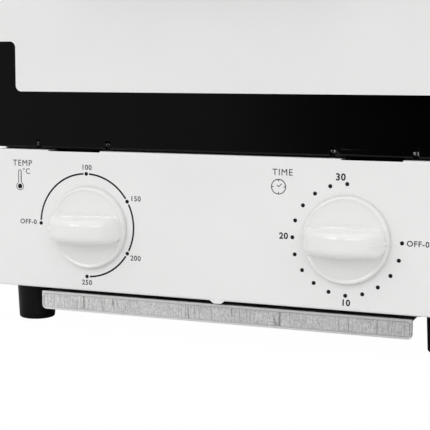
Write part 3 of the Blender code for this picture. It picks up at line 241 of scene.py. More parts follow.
# Handle
handle_half = 0.072
handle_thickness = 0.010
handle_bar_height = 0.013
handle_stand = 0.022
handle_foot_radius = 0.0062
handle_waist_radius = 0.005
handle_round_share = 0.47
handle_end_shares = ((1.0, 0.30), (0.997, 0.55), (0.988, 0.78), (0.972, 0.92), (0.95, 0.98), (0.92, 1.0))
handle_voxel = 0.0006
handle_smooth_rounds = 4
handle_smooth_share = 0.5

# Knobs
knob_radius = 0.0211
knob_rim = 0.0028
knob_chamfer = 0.0009
knob_dish = 0.0007
knob_draft = 0.0003
knob_face_shares = (0.9, 0.6, 0.3)
grip_half_length = 0.02
grip_half_width = 0.0073
grip_taper_share = 0.1
grip_corner = 0.0044
grip_end_round = 0.0061
grip_end_height = 0.0103
grip_height = 0.019
grip_crest_power = 0.9
grip_side_power = 0.5
grip_dome_power = 0.5
grip_stations = 72
grip_points = 48
pointer_start = 0.0145
pointer_end = 0.0208
pointer_width = 0.0013
pointer_rise = 0.0011
pointer_steps = 10
shaft_radius = 0.003
shaft_reach = 0.0082

# Feet
foot_top_radius = 0.0107
foot_sole_radius = 0.0098
foot_chamfer = 0.0012
foot_recess_radius = 0.004
foot_recess_depth = 0.008

# Catch tray, its lip's top counted from the panel's lower edge
tray_lip_half = 0.1007
tray_lip_shift = -0.0008
tray_lip_drop = 0.0098
tray_lip_corner = 0.0024
tray_border = 0.001
tray_groove = 0.0005
tray_emboss = 0.0005
tray_top = -0.0027

# Printing ink
ink_lift = 0.00004
ink_depth = 0.00006
ink_noise_scale = 400.0
ink_greys = (0.003, 0.006)
ink_roughness = 0.5
ink_specular = 0.2
arc_step = math.radians(3)
arc_least_steps = 6

# Dials: places on the panel, and angles in degrees from +X
temperature_dial = (-0.07184, 0.03474)
timer_dial = (0.06779, 0.0346)
ring_radius = 0.02707
ring_width = 0.0009
ring_gap = math.radians(3.4)
dot_radius = 0.001
temperature_dots = (180, 90, 30, -30, -90)
timer_step = 18
timer_dot_count = 16

# Thermometer sign
bulb_place = (-0.11142, 0.05395)
bulb_radius = 0.00205
bulb_fill_radius = 0.0013
bulb_start = math.radians(115)
bulb_end = math.radians(425)
stem_half = 0.00085
stem_rise = 0.0019
stem_top = 0.0618
thermometer_line = 0.00034
graduation_count = 5
graduation_start = 0.0008
graduation_pitch = 0.0012
graduation_line_share = 0.7

# Clock sign
clock_place = (0.03333, 0.05913)
clock_radius = 0.0036
clock_line = 0.0004
clock_turn = math.radians(359.5)
clock_mark_share = 0.72
clock_hands = ((0.0017, 0.0015), (-0.0008, 0.0008))

# Words and numbers on the panel: text, place, letter height and stroke weight
letter_scale = 1.42
letter_spacing = 1.12
letter_steps = 4
fine_weight = 0.0
plain_weight = 0.00005
bold_weight = 0.00013
degree_height = 0.0026
left_off_height = 0.0025
right_off_height = 0.0027
minute_height = 0.003
top_minute_height = 0.0033
title_height = 0.0032
unit_height = 0.0029
panel_words = (
    ("100", (-0.07164, 0.06509), degree_height, plain_weight),
    ("150", (-0.04362, 0.04979), degree_height, plain_weight),
    ("200", (-0.04371, 0.0189), degree_height, plain_weight),
    ("250", (-0.07187, 0.0044), degree_height, plain_weight),
    ("OFF-0", (-0.1066, 0.03505), left_off_height, plain_weight),
    ("30", (0.0645, 0.06482), top_minute_height, bold_weight),
    ("20", (0.03621, 0.03493), minute_height, bold_weight),
    ("10", (0.06802, 0.00396), minute_height, bold_weight),
    ("OFF-0", (0.10243, 0.03447), right_off_height, plain_weight),
    ("TEMP", (-0.1098, 0.06622), title_height, fine_weight),
    ("TIME", (0.0353, 0.06614), title_height, fine_weight),
    ("°C", (-0.10751, 0.06193), unit_height, fine_weight),
)

# Screws
screw_radius = 0.0032
screw_dome = 0.0015
screw_edge_power = 0.7
screw_crown_power = 0.8
screw_slot_width = 0.0009
screw_slot_length = 0.0036
screw_slot_depth = 0.0011
side_screw_rise = 0.0045
side_screw_shares = (0.12, 0.88)
back_screw_inset = 0.006
back_screw_rise = 0.03
back_screw_drop = 0.02
middle_screw_rise = 0.0145


def place(axis, along, first, second):
    """A world point from a distance along an axis and the two cross directions."""
    if axis == "X":
        return Vector((along, first, second))
    if axis == "Y":
        return Vector((first, along, second))
    return Vector((first, second, along))


def full_turn(steps):
    """Angles of a full turn in even steps."""
    return [2 * math.pi * i / steps for i in range(steps)]


def around(centre, radius, angle):
    """A flat place on a circle about a centre."""
    return centre[0] + radius * math.cos(angle), centre[1] + radius * math.sin(angle)


def scene_object(name, data):
    made = bpy.data.objects.new(name, data)
    bpy.context.scene.collection.objects.link(made)
    return made


def mesh_object(name, shape):
    """A scene object from a bmesh whose points are world places."""
    bmesh.ops.recalc_face_normals(shape, faces=shape.faces)
    mesh = bpy.data.meshes.new(name)
    shape.to_mesh(mesh)
    shape.free()
    return scene_object(name, mesh)


def band(shape, first, second):
    """Faces between two closed rings with the same number of points."""
    for i, point in enumerate(first):
        after = (i + 1) % len(first)
        shape.faces.new((point, first[after], second[after], second[i]))


def prism(name, outline, axis, start, end, edge=0):
    """An outline pushed along an axis; edge rounds the rim of its first face."""
    shape = bmesh.new()
    first = [shape.verts.new(place(axis, start, a, b)) for a, b in outline]
    second = [shape.verts.new(place(axis, end, a, b)) for a, b in outline]
    face = shape.faces.new(first)
    shape.faces.new(second)
    band(shape, first, second)
    if edge:
        bmesh.ops.bevel(shape, geom=list(face.edges), offset=edge, segments=bend_segments,
                        profile=bevel_round_share, affect="EDGES")
    return mesh_object(name, shape)


def loft(name, rings):
    """A closed solid through rings of world places."""
    shape = bmesh.new()
    rings = [[shape.verts.new(point) for point in ring] for ring in rings]
    for first, second in zip(rings, rings[1:]):
        band(shape, first, second)
    shape.faces.new(rings[0])
    shape.faces.new(rings[-1])
    return mesh_object(name, shape)


def box(name, low, high, radius=0, segments=round_segments):
    """A block from corner to corner; a radius rounds all its edges but the rim of its +Y face."""
    shape = bmesh.new()
    bmesh.ops.create_cube(shape, size=1)
    low, high = Vector(low), Vector(high)
    for point in shape.verts:
        for i in range(3):
            point.co[i] = high[i] if point.co[i] > 0 else low[i]
    if radius:
        edges = [edge for edge in shape.edges if any(point.co.y != high.y for point in edge.verts)]
        bmesh.ops.bevel(shape, geom=edges, offset=radius, segments=segments,
                        profile=bevel_round_share, affect="EDGES")
    return mesh_object(name, shape)


def arc_corner(before, corner, after, radius):
    """Points of a round of this radius in place of an outline's corner."""
    before, corner, after = Vector(before), Vector(corner), Vector(after)
    back = (before - corner).normalized()
    ahead = (after - corner).normalized()
    half = back.angle(ahead) / 2
    centre = corner + (back + ahead).normalized() * radius / math.sin(half)
    start = corner + back * radius / math.tan(half) - centre
    end = corner + ahead * radius / math.tan(half) - centre
    turn = start.angle_signed(end)
    turns = [-turn * i / corner_steps for i in range(corner_steps + 1)]
    return [tuple(centre + Matrix.Rotation(angle, 2) @ start) for angle in turns]


def rounded(outline, radii):
    """A closed outline with each corner rounded by its own radius; zero leaves it sharp."""
    points = []
    for i, corner in enumerate(outline):
        if not radii[i]:
            points.append(tuple(corner))
            continue
        points += arc_corner(outline[i - 1], corner, outline[(i + 1) % len(outline)], radii[i])
    return points


def rectangle(left, low, right, high, radius):
    return rounded([(left, low), (right, low), (right, high), (left, high)], [radius] * 4)


def turned(name, profile, axis, centre, steps):
    """A profile of (radius, distance along the axis) spun about an axis through a centre."""
    shape = bmesh.new()
    rings = []
    for radius, along in profile:
        if radius == 0:
            rings.append([shape.verts.new(place(axis, along, 0, 0))])
            continue
        spots = [around((0, 0), radius, angle) for angle in full_turn(steps)]
        rings.append([shape.verts.new(place(axis, along, *spot)) for spot in spots])
    for first, second in zip(rings, rings[1:]):
        for i in range(steps):
            after = (i + 1) % steps
            corners = [first[i % len(first)], first[after % len(first)],
                       second[after % len(second)], second[i % len(second)]]
            shape.faces.new(list(dict.fromkeys(corners)))
    bmesh.ops.translate(shape, vec=Vector(centre), verts=shape.verts)
    return mesh_object(name, shape)


def cylinder(name, axis, centre, radius, start, end, steps=round_steps):
    return turned(name, [(0, start), (radius, start), (radius, end), (0, end)], axis, centre, steps)


def settle(target):
    """Turns an object with its modifiers, or a curve, into a plain mesh object."""
    graph = bpy.context.evaluated_depsgraph_get()
    mesh = bpy.data.meshes.new_from_object(target.evaluated_get(graph))
    name = target.name
    bpy.data.objects.remove(target, do_unlink=True)
    return scene_object(name, mesh)


def combine(target, tools, operation):
    """Joins or cuts a solid with each tool in turn, and clears the tools away."""
    for tool in tools:
        step = target.modifiers.new(operation.lower(), "BOOLEAN")
        step.operation = operation
        step.solver = "EXACT"
        step.object = tool
        target = settle(target)
        bpy.data.objects.remove(tool, do_unlink=True)
    return target


def cut(target, *tools):
    return combine(target, tools, "DIFFERENCE")


def join(target, *tools):
    return combine(target, tools, "UNION")


def blended(piece, voxel, rounds, share):
    """A union of overlapping forms as one skin, with soft fillets where they meet."""
    step = piece.modifiers.new("skin", "REMESH")
    step.mode = "VOXEL"
    step.voxel_size = voxel
    step.adaptivity = 0
    step = piece.modifiers.new("fillet", "SMOOTH")
    step.factor = share
    step.iterations = rounds
    return settle(piece)


def smooth(piece, angle=piece_angle):
    """Smooth shading on rounds, with edges kept sharp from an angle on."""
    piece.data.shade_smooth()
    piece.data.set_sharp_from_angle(angle=angle)
    return piece


def break_edges(piece):
    """A fine round on every sharp edge, so that the edges catch the light."""
    step = piece.modifiers.new("edge", "BEVEL")
    step.width = edge_break
    step.segments = break_segments
    step.limit_method = "ANGLE"
    step.angle_limit = round_angle
    step.use_clamp_overlap = True
    step.harden_normals = False
    return piece


def dress(piece, slot, body, *nodes, look=None):
    """Gives a piece its finish and its body, and lets it stand for CAD nodes."""
    step = piece.modifiers.new("flat areas", "WEIGHTED_NORMAL")
    step.keep_sharp = True
    piece.data.materials.clear()
    piece.data.materials.append(finishes[look or slot])
    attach(piece, body)
    if nodes:
        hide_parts(*nodes)
        replaced.update(nodes)


def dress_ink(piece):
    dress(piece, "black_enamel", "housing", look="printing_ink")


def copied(node):
    """The mesh of a CAD node with its corners welded and its flat areas whole again."""
    made = scene_object(node + "_dressed", frame["nodes"][node].data.copy())
    shape = bmesh.new()
    shape.from_mesh(made.data)
    bmesh.ops.remove_doubles(shape, verts=shape.verts, dist=weld_distance)
    bmesh.ops.dissolve_limit(shape, angle_limit=flat_angle, verts=shape.verts, edges=shape.edges)
    shape.to_mesh(made.data)
    shape.free()
    return made


def grey(brightness):
    return brightness, brightness, brightness, 1


def shader_of(name):
    """A new material, with its node tree and its main shader."""
    material = bpy.data.materials.new(name)
    material.use_nodes = True
    tree = material.node_tree
    return material, tree, tree.nodes["Principled BSDF"]


def add(tree, kind, **values):
    """A shader node with its properties and inputs set by name."""
    made = tree.nodes.new(kind)
    for name, value in values.items():
        if hasattr(made, name):
            setattr(made, name, value)
        else:
            made.inputs[name.replace("_", " ")].default_value = value
    return made


def object_places(tree, stretch=(1, 1, 1)):
    """Points in the part's frame, stretched along each axis."""
    source = tree.nodes.new("ShaderNodeTexCoord")
    mapping = tree.nodes.new("ShaderNodeMapping")
    mapping.inputs["Scale"].default_value = stretch
    tree.links.new(source.outputs["Object"], mapping.inputs["Vector"])
    return mapping.outputs["Vector"]


def parted(tree, vector):
    """The X, Y and Z of a vector."""
    made = tree.nodes.new("ShaderNodeSeparateXYZ")
    tree.links.new(vector, made.inputs["Vector"])
    return made.outputs["X"], made.outputs["Y"], made.outputs["Z"]


def noise(tree, places, scale, octaves=noise_octaves, roughness=noise_roughness):
    made = add(tree, "ShaderNodeTexNoise", Scale=scale, Detail=octaves, Roughness=roughness)
    tree.links.new(places, made.inputs["Vector"])
    return made.outputs["Fac"]


def ramp(tree, factor, stops):
    """A colour ramp from (position, brightness or colour) stops."""
    made = tree.nodes.new("ShaderNodeValToRGB")
    while len(made.color_ramp.elements) < len(stops):
        made.color_ramp.elements.new(1.0)
    for element, (position, colour) in zip(made.color_ramp.elements, stops):
        element.position = position
        element.color = (*colour, 1) if isinstance(colour, tuple) else grey(colour)
    tree.links.new(factor, made.inputs["Fac"])
    return made.outputs["Color"]


def spread(tree, field, low, high):
    """A noise field's middle range spread from one brightness or colour to another."""
    return ramp(tree, field, [(noise_low_share, low), (noise_high_share, high)])


def mixed(tree, factor, first, second, way="MIX"):
    """Two colours mixed by a factor, each of the three a socket or a constant."""
    made = add(tree, "ShaderNodeMix", data_type="RGBA", blend_type=way)
    for name, value in (("Factor", factor), ("A", first), ("B", second)):
        if isinstance(value, bpy.types.NodeSocket):
            tree.links.new(value, made.inputs[name])
        else:
            made.inputs[name].default_value = value
    return made.outputs["Result"]


def multiplied(tree, first, second):
    return mixed(tree, 1.0, first, second, "MULTIPLY")


def reach(tree, value, start, end, easing="LINEAR"):
    """How far a coordinate has come from a start to an end, from zero to one."""
    made = add(tree, "ShaderNodeMapRange", From_Min=start, From_Max=end, interpolation_type=easing)
    tree.links.new(value, made.inputs["Value"])
    return made.outputs["Result"]


def bump(tree, shader, height, distance):
    made = add(tree, "ShaderNodeBump", Distance=distance, Strength=bump_strength)
    tree.links.new(height, made.inputs["Height"])
    tree.links.new(made.outputs["Normal"], shader.inputs["Normal"])


def speckled(name, dark, light, roughness, grain, depth, metallic=0.0, specular=plain_specular):
    """A finish whose colour and gloss wander a little, over a fine surface grain."""
    material, tree, shader = shader_of(name)
    places = object_places(tree)
    tint = spread(tree, noise(tree, places, *wander_noise), dark, light)
    gloss = spread(tree, noise(tree, places, *gloss_noise), *roughness)
    tree.links.new(tint, shader.inputs["Base Color"])
    tree.links.new(gloss, shader.inputs["Roughness"])
    shader.inputs["Metallic"].default_value = metallic
    shader.inputs["Specular IOR Level"].default_value = specular
    bump(tree, shader, noise(tree, places, grain), depth)
    return material


def make_zinc():
    """Galvanised sheet: flat crystals of unlike grey, with an uneven gloss."""
    material, tree, shader = shader_of("zinc_plate")
    places = object_places(tree)
    cells = add(tree, "ShaderNodeTexVoronoi", Scale=zinc_cell_scale, Randomness=zinc_cell_scatter)
    tree.links.new(places, cells.inputs["Vector"])
    gloss = spread(tree, noise(tree, places, *zinc_gloss_noise), *zinc_roughness)
    tree.links.new(ramp(tree, cells.outputs["Color"], zinc_stops), shader.inputs["Base Color"])
    tree.links.new(gloss, shader.inputs["Roughness"])
    shader.inputs["Metallic"].default_value = zinc_metallic
    bump(tree, shader, noise(tree, places, zinc_grain), zinc_grain_depth)
    return material


def ridges(tree, stretch, scale, width, darkening):
    """Thin darker lines where a stretched noise field crosses its middle."""
    field = noise(tree, object_places(tree, stretch), scale, crease_octaves, crease_roughness)
    offset = add(tree, "ShaderNodeMath", operation="SUBTRACT")
    tree.links.new(field, offset.inputs[0])
    offset.inputs[1].default_value = noise_middle_share
    size = add(tree, "ShaderNodeMath", operation="ABSOLUTE")
    tree.links.new(offset.outputs[0], size.inputs[0])
    return ramp(tree, size.outputs[0], [(0.0, 1 - darkening), (width, 1.0)])


def creased_tint(tree, places, strands, mottle):
    """Zinc inside the lip's groove: strands under a mottle, faint patches and creases."""
    tint = multiplied(tree, ramp(tree, strands, strand_stops), ramp(tree, mottle, mottle_stops))
    tint = multiplied(tree, tint, ramp(tree, noise(tree, places, *patch_noise), patch_stops))
    for crease in creases:
        tint = multiplied(tree, tint, ridges(tree, **crease))
    return tint


def inside_groove(tree, height):
    """One between the lip's lower and upper groove, and zero in the border outside them."""
    top = panel_low + tray_top
    margin = tray_border + tray_groove / 2
    outer, inner = margin / tray_lip_drop, (margin + seam) / tray_lip_drop
    return ramp(tree, reach(tree, height, top - tray_lip_drop, top),
                [(0.0, 0.0), (outer, 0.0), (inner, 1.0), (1 - inner, 1.0), (1 - outer, 0.0)])


def painted_lip_shade(tree, across):
    """Painted shade: the tray darkens from left to right as its light falls off, and more at its very right
    edge, whose face is in shade.
    """
    left, right = tray_lip_shift - tray_lip_half, tray_lip_shift + tray_lip_half
    edge = lip_shaded_edge / tray_lip_half / 2
    return ramp(tree, reach(tree, across, left, right),
                [(0.0, 1.0), (1 - edge, lip_shade_share), (1.0, lip_shade_share * lip_edge_shade_share)])


def painted_shade_and_heat_stain(tree, places, behind):
    """Painted shade on the pan just behind its lip, where it lies in the gap under the panel, fading back
    into a spotted heat stain.
    """
    shade_then_stain = ramp(tree, reach(tree, behind, shade_and_stain_start, shade_and_stain_start + shade_and_stain_length), shade_and_stain_shares)
    spots = ramp(tree, noise(tree, places, *spot_noise), spot_stops)
    past_lip = reach(tree, behind, shade_and_stain_start, shade_and_stain_start + seam)
    return multiplied(tree, shade_then_stain, mixed(tree, past_lip, grey(1), spots))


def make_creased_zinc():
    """The tray's thin zinc sheet, creased along its lip, with painted shade just behind the lip and a heat
    stain further back in its pan.
    """
    material, tree, shader = shader_of("creased_zinc")
    places = object_places(tree)
    across, behind, height = parted(tree, places)
    strands = noise(tree, object_places(tree, strand_stretch), *strand_noise)
    mottle = noise(tree, places, *mottle_noise)
    tint = mixed(tree, inside_groove(tree, height), ramp(tree, strands, border_stops),
                 creased_tint(tree, places, strands, mottle))
    # Painted shade: darker towards the right and at the right edge
    tint = multiplied(tree, tint, painted_lip_shade(tree, across))
    # Painted shade behind the lip, fading into a heat stain
    tint = multiplied(tree, tint, painted_shade_and_heat_stain(tree, places, behind))
    tree.links.new(tint, shader.inputs["Base Color"])
    tree.links.new(spread(tree, strands, *tray_roughness), shader.inputs["Roughness"])
    shader.inputs["Metallic"].default_value = tray_metallic
    bump(tree, shader, mottle, mottle_depth)
    return material


def make_ink():
    """Black printing ink, matt and a little uneven."""
    material, tree, shader = shader_of("printing_ink")
    places = object_places(tree)
    tint = spread(tree, noise(tree, places, ink_noise_scale), *ink_greys)
    tree.links.new(tint, shader.inputs["Base Color"])
    shader.inputs["Roughness"].default_value = ink_roughness
    shader.inputs["Specular IOR Level"].default_value = ink_specular
    return material


def make_finishes():
    """Every finish of the part by name; all but two are named as their slots."""
    made = {name: speckled(name, **values) for name, values in plain_finishes.items()}
    made["zinc_plate"] = make_zinc()
    made["creased_zinc"] = make_creased_zinc()
    made["printing_ink"] = make_ink()
    return made


def make_camera():
    level = math.cos(camera_pitch)
    forward = Vector((-math.sin(camera_yaw) * level, math.cos(camera_yaw) * level, -math.sin(camera_pitch)))
    right = Vector((math.cos(camera_yaw), math.sin(camera_yaw), 0))
    up = right.cross(forward)
    tilted_right = right * math.cos(camera_roll) + up * math.sin(camera_roll)
    tilted_up = up * math.cos(camera_roll) - right * math.sin(camera_roll)
    data = bpy.data.cameras.new("camera")
    data.sensor_width = sensor_width
    data.lens = focal_pixels / frame_pixels * sensor_width
    data.clip_start = camera_near
    camera = scene_object("camera", data)
    turn = Matrix((tilted_right, tilted_up, -forward)).transposed()
    camera.matrix_world = Matrix.Translation(Vector(camera_place)) @ turn.to_4x4()
    bpy.context.scene.camera = camera


def area_light(name, spot, width, height, power):
    """A rectangular light aimed at the part."""
    data = bpy.data.lights.new(name, "AREA")
    data.shape = "RECTANGLE"
    data.size = width
    data.size_y = height
    data.energy = power
    lamp = scene_object(name, data)
    lamp.location = spot
    lamp.rotation_euler = (Vector(light_aim) - Vector(spot)).to_track_quat("-Z", "Y").to_euler()
    return lamp


def make_surround():
    """White to the camera; its light is bright above and behind, and dark ahead of the front."""
    world = bpy.data.worlds.new("studio")
    world.use_nodes = True
    tree = world.node_tree
    source = tree.nodes.new("ShaderNodeTexCoord")
    across, behind, above = parted(tree, source.outputs["Generated"])
    horizon = ramp(tree, reach(tree, across, -1.0, 1.0), horizon_shares)
    rise = reach(tree, above, sky_start, sky_full, "SMOOTHSTEP")
    depth = reach(tree, behind, back_start, back_full, "SMOOTHSTEP")
    room = mixed(tree, depth, mixed(tree, rise, horizon, grey(sky_light)), grey(back_light))
    seen = tree.nodes.new("ShaderNodeLightPath")
    surround = mixed(tree, seen.outputs["Is Camera Ray"], room, grey(1))
    tree.links.new(surround, tree.nodes["Background"].inputs["Color"])
    bpy.context.scene.world = world


def make_floor():
    """A round pale floor, washed out to near white for the camera, with a faint shadow left."""
    floor = cylinder("floor", "Z", (0, 0, 0), floor_radius, -floor_thickness, 0, fine_steps)
    material, tree, shader = shader_of("floor")
    tint = spread(tree, noise(tree, object_places(tree), floor_noise_scale), *floor_greys)
    tree.links.new(tint, shader.inputs["Base Color"])
    shader.inputs["Roughness"].default_value = floor_roughness
    shader.inputs["Specular IOR Level"].default_value = floor_specular
    glow = add(tree, "ShaderNodeEmission", Strength=floor_glow)
    seen = tree.nodes.new("ShaderNodeLightPath")
    wash = add(tree, "ShaderNodeMapRange", To_Max=floor_wash_share)
    blend = tree.nodes.new("ShaderNodeMixShader")
    tree.links.new(seen.outputs["Is Camera Ray"], wash.inputs["Value"])
    tree.links.new(wash.outputs["Result"], blend.inputs["Fac"])
    tree.links.new(shader.outputs["BSDF"], blend.inputs[1])
    tree.links.new(glow.outputs["Emission"], blend.inputs[2])
    tree.links.new(blend.outputs["Shader"], tree.nodes["Material Output"].inputs["Surface"])
    floor.data.materials.append(material)


def make_studio():
    """The floor, the surround and the lights; the sparks reach only what glints."""
    make_floor()
    make_surround()
    area_light("key_light", key_place, front_light_side, front_light_side, key_power)
    area_light("fill_light", fill_place, front_light_side, front_light_side, fill_power)
    area_light("top_light", top_place, top_light_side, top_light_side, top_power)
    glinting = bpy.data.collections.new("glinting")
    for name, spot, power in (("left_spark", left_spark_place, left_spark_power),
                              ("right_spark", right_spark_place, right_spark_power)):
        lamp = area_light(name, spot, spark_width, spark_height, power)
        lamp.visible_diffuse = False
        lamp.light_linking.receiver_collection = glinting
    bpy.context.scene.view_settings.view_transform = "Standard"
    bpy.context.scene.view_settings.look = "None"


def panel_reliefs(half, front, back, high):
    """What is cut from the panel: the ends of its lower hem, and room for the two hinges."""
    tools = []
    for side in (-1, 1):
        left, right = sorted((side * (half - sheet - seam), side * panel_hem_half))
        tools.append(box("hem_relief", (left, front + bend, panel_low - overrun),
                         (right, back + overrun, panel_low + bend)))
        left, right = sorted((side * (knuckle_inner - relief_side), side * (knuckle_outer + relief_side)))
        tools.append(box("knuckle_relief", (left, front - overrun, high - relief_depth),
                         (right, back + overrun, high + overrun)))
        tools.append(box("fold_relief", (left, front + sheet, high - relief_fold),
                         (right, back + overrun, high + overrun)))
    return tools


def shaft_holes(front):
    """The panel's two holes, each about its control's shaft."""
    tools = []
    for node in ("temperature_shaft", "timer_shaft"):
        low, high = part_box(node)
        middle = ((low.x + high.x) / 2, 0, low.z + shaft_radius)
        tools.append(cylinder("shaft_hole", "Y", middle, shaft_hole_radius, front - overrun,
                              front + sheet + overrun))
    return tools


def make_control_panel():
    """The folded panel with its lower lug, its hinge reliefs and its shaft holes."""
    low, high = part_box("control_panel")
    half, front, back, base = high.x, low.y, high.y, panel_low
    panel = box("control_panel_dressed", (-half, front, base), (half, back, high.z), bend)
    panel = cut(panel, box("hollow", (-half + sheet, front + sheet, base + sheet),
                           (half - sheet, back + overrun, high.z - sheet), bend - sheet, bend_segments))
    lug = [(lug_left, base + sheet), (lug_left, base), (lug_left + lug_slope, base - lug_drop),
           (lug_right - lug_slope, base - lug_drop), (lug_right, base), (lug_right, base + sheet)]
    lug = rounded(lug, [0, 0, lug_corner, lug_corner, 0, 0])
    panel = join(panel, prism("lug", lug, "Y", front + lug_inset, front + sheet - lug_inset / 2))
    panel = cut(panel, *panel_reliefs(half, front, back, high.z), *shaft_holes(front))
    dress(smooth(panel, sheet_angle), "white_enamel", "housing", "control_panel")


def make_door_skin():
    """The door's outer plate with its notched lower corners and the handle's two screw holes."""
    low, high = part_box("door_skin")
    half, notch = high.x, low.z + skin_notch_rise
    outline = [(-skin_notch_half, low.z), (skin_notch_half, low.z), (skin_notch_half, notch), (half, notch),
               (half, high.z), (-half, high.z), (-half, notch), (-skin_notch_half, notch)]
    radii = [skin_corner] * 3 + [skin_edge] + [skin_corner] * 2 + [skin_edge, skin_corner]
    skin = prism("door_skin_dressed", rounded(outline, radii), "Y", low.y, high.y, skin_edge)
    for side in (-1, 1):
        skin = cut(skin, cylinder("hole", "Y", (side * handle_foot_x, 0, panel_low + handle_height),
                                  screw_hole_radius, low.y - overrun, high.y + overrun, small_steps))
    dress(smooth(skin, sheet_angle), "white_enamel", "door", "door_skin")


def make_housing():
    """The wrap with round top corners and a row of round-ended slots in each side."""
    low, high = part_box("housing_wrap")
    inner_x, inner_z = high.x - sheet, high.z - sheet
    outline = [(high.x, low.z), (high.x, high.z), (-high.x, high.z), (-high.x, low.z),
               (-inner_x, low.z), (-inner_x, inner_z), (inner_x, inner_z), (inner_x, low.z)]
    inner_corner = body_corner - sheet
    outline = rounded(outline, [0, body_corner, body_corner, 0, 0, inner_corner, inner_corner, 0])
    wrap = prism("housing_wrap_dressed", outline, "Y", low.y, high.y)
    first = (low.y + high.y) / 2 - vent_pitch * (vent_count - 1) / 2 + vent_shift
    for side in (-1, 1):
        for i in range(vent_count):
            y = first + vent_pitch * i
            slot = rectangle(y - vent_width / 2, panel_low + vent_low, y + vent_width / 2,
                             panel_low + vent_low + vent_length, vent_width * vent_round_share)
            ends = sorted((side * (inner_x - overrun), side * (high.x + overrun)))
            wrap = cut(wrap, prism("slot", slot, "X", *ends))
    dress(break_edges(smooth(wrap, sheet_angle)), "white_enamel", "housing", "housing_wrap")


def make_feet():
    """Four turned feet, each with a recess in its sole."""
    for node in ("foot_front_left", "foot_front_right", "foot_rear_left", "foot_rear_right"):
        low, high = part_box(node)
        centre = ((low.x + high.x) / 2, (low.y + high.y) / 2, 0)
        top = panel_low - seam
        round_in = foot_chamfer / 2
        profile = [(0, top), (foot_top_radius - round_in, top), (foot_top_radius, top - round_in / 2),
                   (foot_sole_radius, foot_chamfer), (foot_sole_radius - round_in / 3, round_in),
                   (foot_sole_radius - round_in, round_in / 3), (foot_sole_radius - foot_chamfer, 0),
                   (foot_recess_radius, 0), (foot_recess_radius, foot_recess_depth), (0, foot_recess_depth)]
        foot = turned(node + "_dressed", profile, "Z", centre, fine_steps)
        dress(smooth(foot, round_angle), "rubber", "housing", node)


def make_catch_tray():
    """The pan, and its front lip with a fine groove pressed along its border."""
    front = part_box("catch_tray")[0].y
    pan = copied("catch_tray")
    top = panel_low + tray_top
    outlines = []
    for inset in (tray_border, tray_border + tray_groove):
        left = tray_lip_shift - tray_lip_half + inset
        right = tray_lip_shift + tray_lip_half - inset
        low, high = top - tray_lip_drop + inset, top - inset
        outlines.append(rectangle(left, low, right, high, tray_lip_corner - inset / 2))
    groove = prism("groove", outlines[0], "Y", front - overrun, front + tray_emboss)
    groove = cut(groove, prism("field", outlines[1], "Y", front - 2 * overrun, front + 2 * overrun))
    pan = break_edges(smooth(cut(pan, groove), sheet_angle))
    dress(pan, "zinc_plate", "catch_tray", "catch_tray", look="creased_zinc")


def knob_solid(name, middle, back):
    """The dished disc of a knob as a turned solid with a rounded rim."""
    face = knob_rim - knob_dish
    shoulder_radius, shoulder = knob_radius - knob_chamfer, knob_rim - knob_chamfer
    profile = [(0, 0), (knob_radius + knob_draft, 0), (knob_radius, shoulder)]
    for i in range(small_steps + 1):
        angle = math.pi / 2 * i / small_steps
        profile.append(around((shoulder_radius, shoulder), knob_chamfer, angle))
    profile += [(knob_radius * share, face) for share in knob_face_shares]
    profile.append((0, face))
    return turned(name, [(radius, back - rise) for radius, rise in profile], "Y", middle, fine_steps)


def fallen(distance, length, radius):
    """How far a round of this radius at the end of a length has fallen at a distance."""
    over = min(max(distance - (length - radius), 0), radius)
    return radius - math.sqrt(radius ** 2 - over ** 2)


def grip_rise(distance):
    """Height of the grip's crest at a distance from its middle."""
    arch = max(math.cos(math.pi / 2 * distance / grip_half_length), 0) ** grip_crest_power
    crest = grip_end_height + (grip_height - grip_end_height) * arch
    return crest - fallen(distance, grip_half_length, grip_end_round)


def grip_section(along):
    """Points of the grip's domed section at a place along it, as (across, rise)."""
    base = knob_rim / 2
    crest = grip_rise(abs(along))
    taper = 1 - grip_taper_share * (along / grip_half_length) ** 2
    width = grip_half_width * taper - fallen(abs(along), grip_half_length, grip_corner)
    points = []
    for i in range(grip_points + 1):
        angle = math.pi * i / grip_points
        across = math.copysign(abs(math.cos(angle)) ** grip_side_power, math.cos(angle)) * width
        points.append((across, base + (crest - base) * math.sin(angle) ** grip_dome_power))
    return points


def grip_bar(middle, back):
    """The grip as a loft of domed sections along its length."""
    rings = []
    for i in range(grip_stations + 1):
        along = math.cos(math.pi * i / grip_stations) * grip_half_length
        section = grip_section(along)
        rings.append([(middle[0] + along, back - rise, middle[2] + across) for across, rise in section])
    return loft("grip", rings)


def pointer_rib(middle, back, pointer_side):
    """The raised line that runs over the end of the grip and down to the disc."""
    outline = [(pointer_start, knob_rim / 2), (pointer_end, knob_rim / 2), (pointer_end, knob_rim + seam),
               (grip_half_length + pointer_rise, grip_rise(grip_half_length))]
    for i in range(pointer_steps + 1):
        along = grip_half_length + (pointer_start - grip_half_length) * i / pointer_steps
        outline.append((along, grip_rise(along) + pointer_rise * min(2 - 2 * i / pointer_steps, 1)))
    outline = [(middle[0] + pointer_side * x, back - rise) for x, rise in outline]
    return prism("rib", outline, "Z", middle[2] - pointer_width / 2, middle[2] + pointer_width / 2)


def make_knob(node, pointer_side, body):
    """A knob with its grip, its pointer and the socket for its shaft."""
    low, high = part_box(node)
    middle = ((low.x + high.x) / 2, 0, (low.z + high.z) / 2)
    back = high.y
    knob = join(knob_solid(node + "_dressed", middle, back), grip_bar(middle, back),
                pointer_rib(middle, back, pointer_side))
    socket = cylinder("socket", "Y", middle, shaft_radius + seam, back - shaft_reach, back + overrun)
    knob = cut(knob, socket)
    dress(smooth(knob, round_angle), "knob_plastic", body, node)
    bpy.data.collections["glinting"].objects.link(knob)


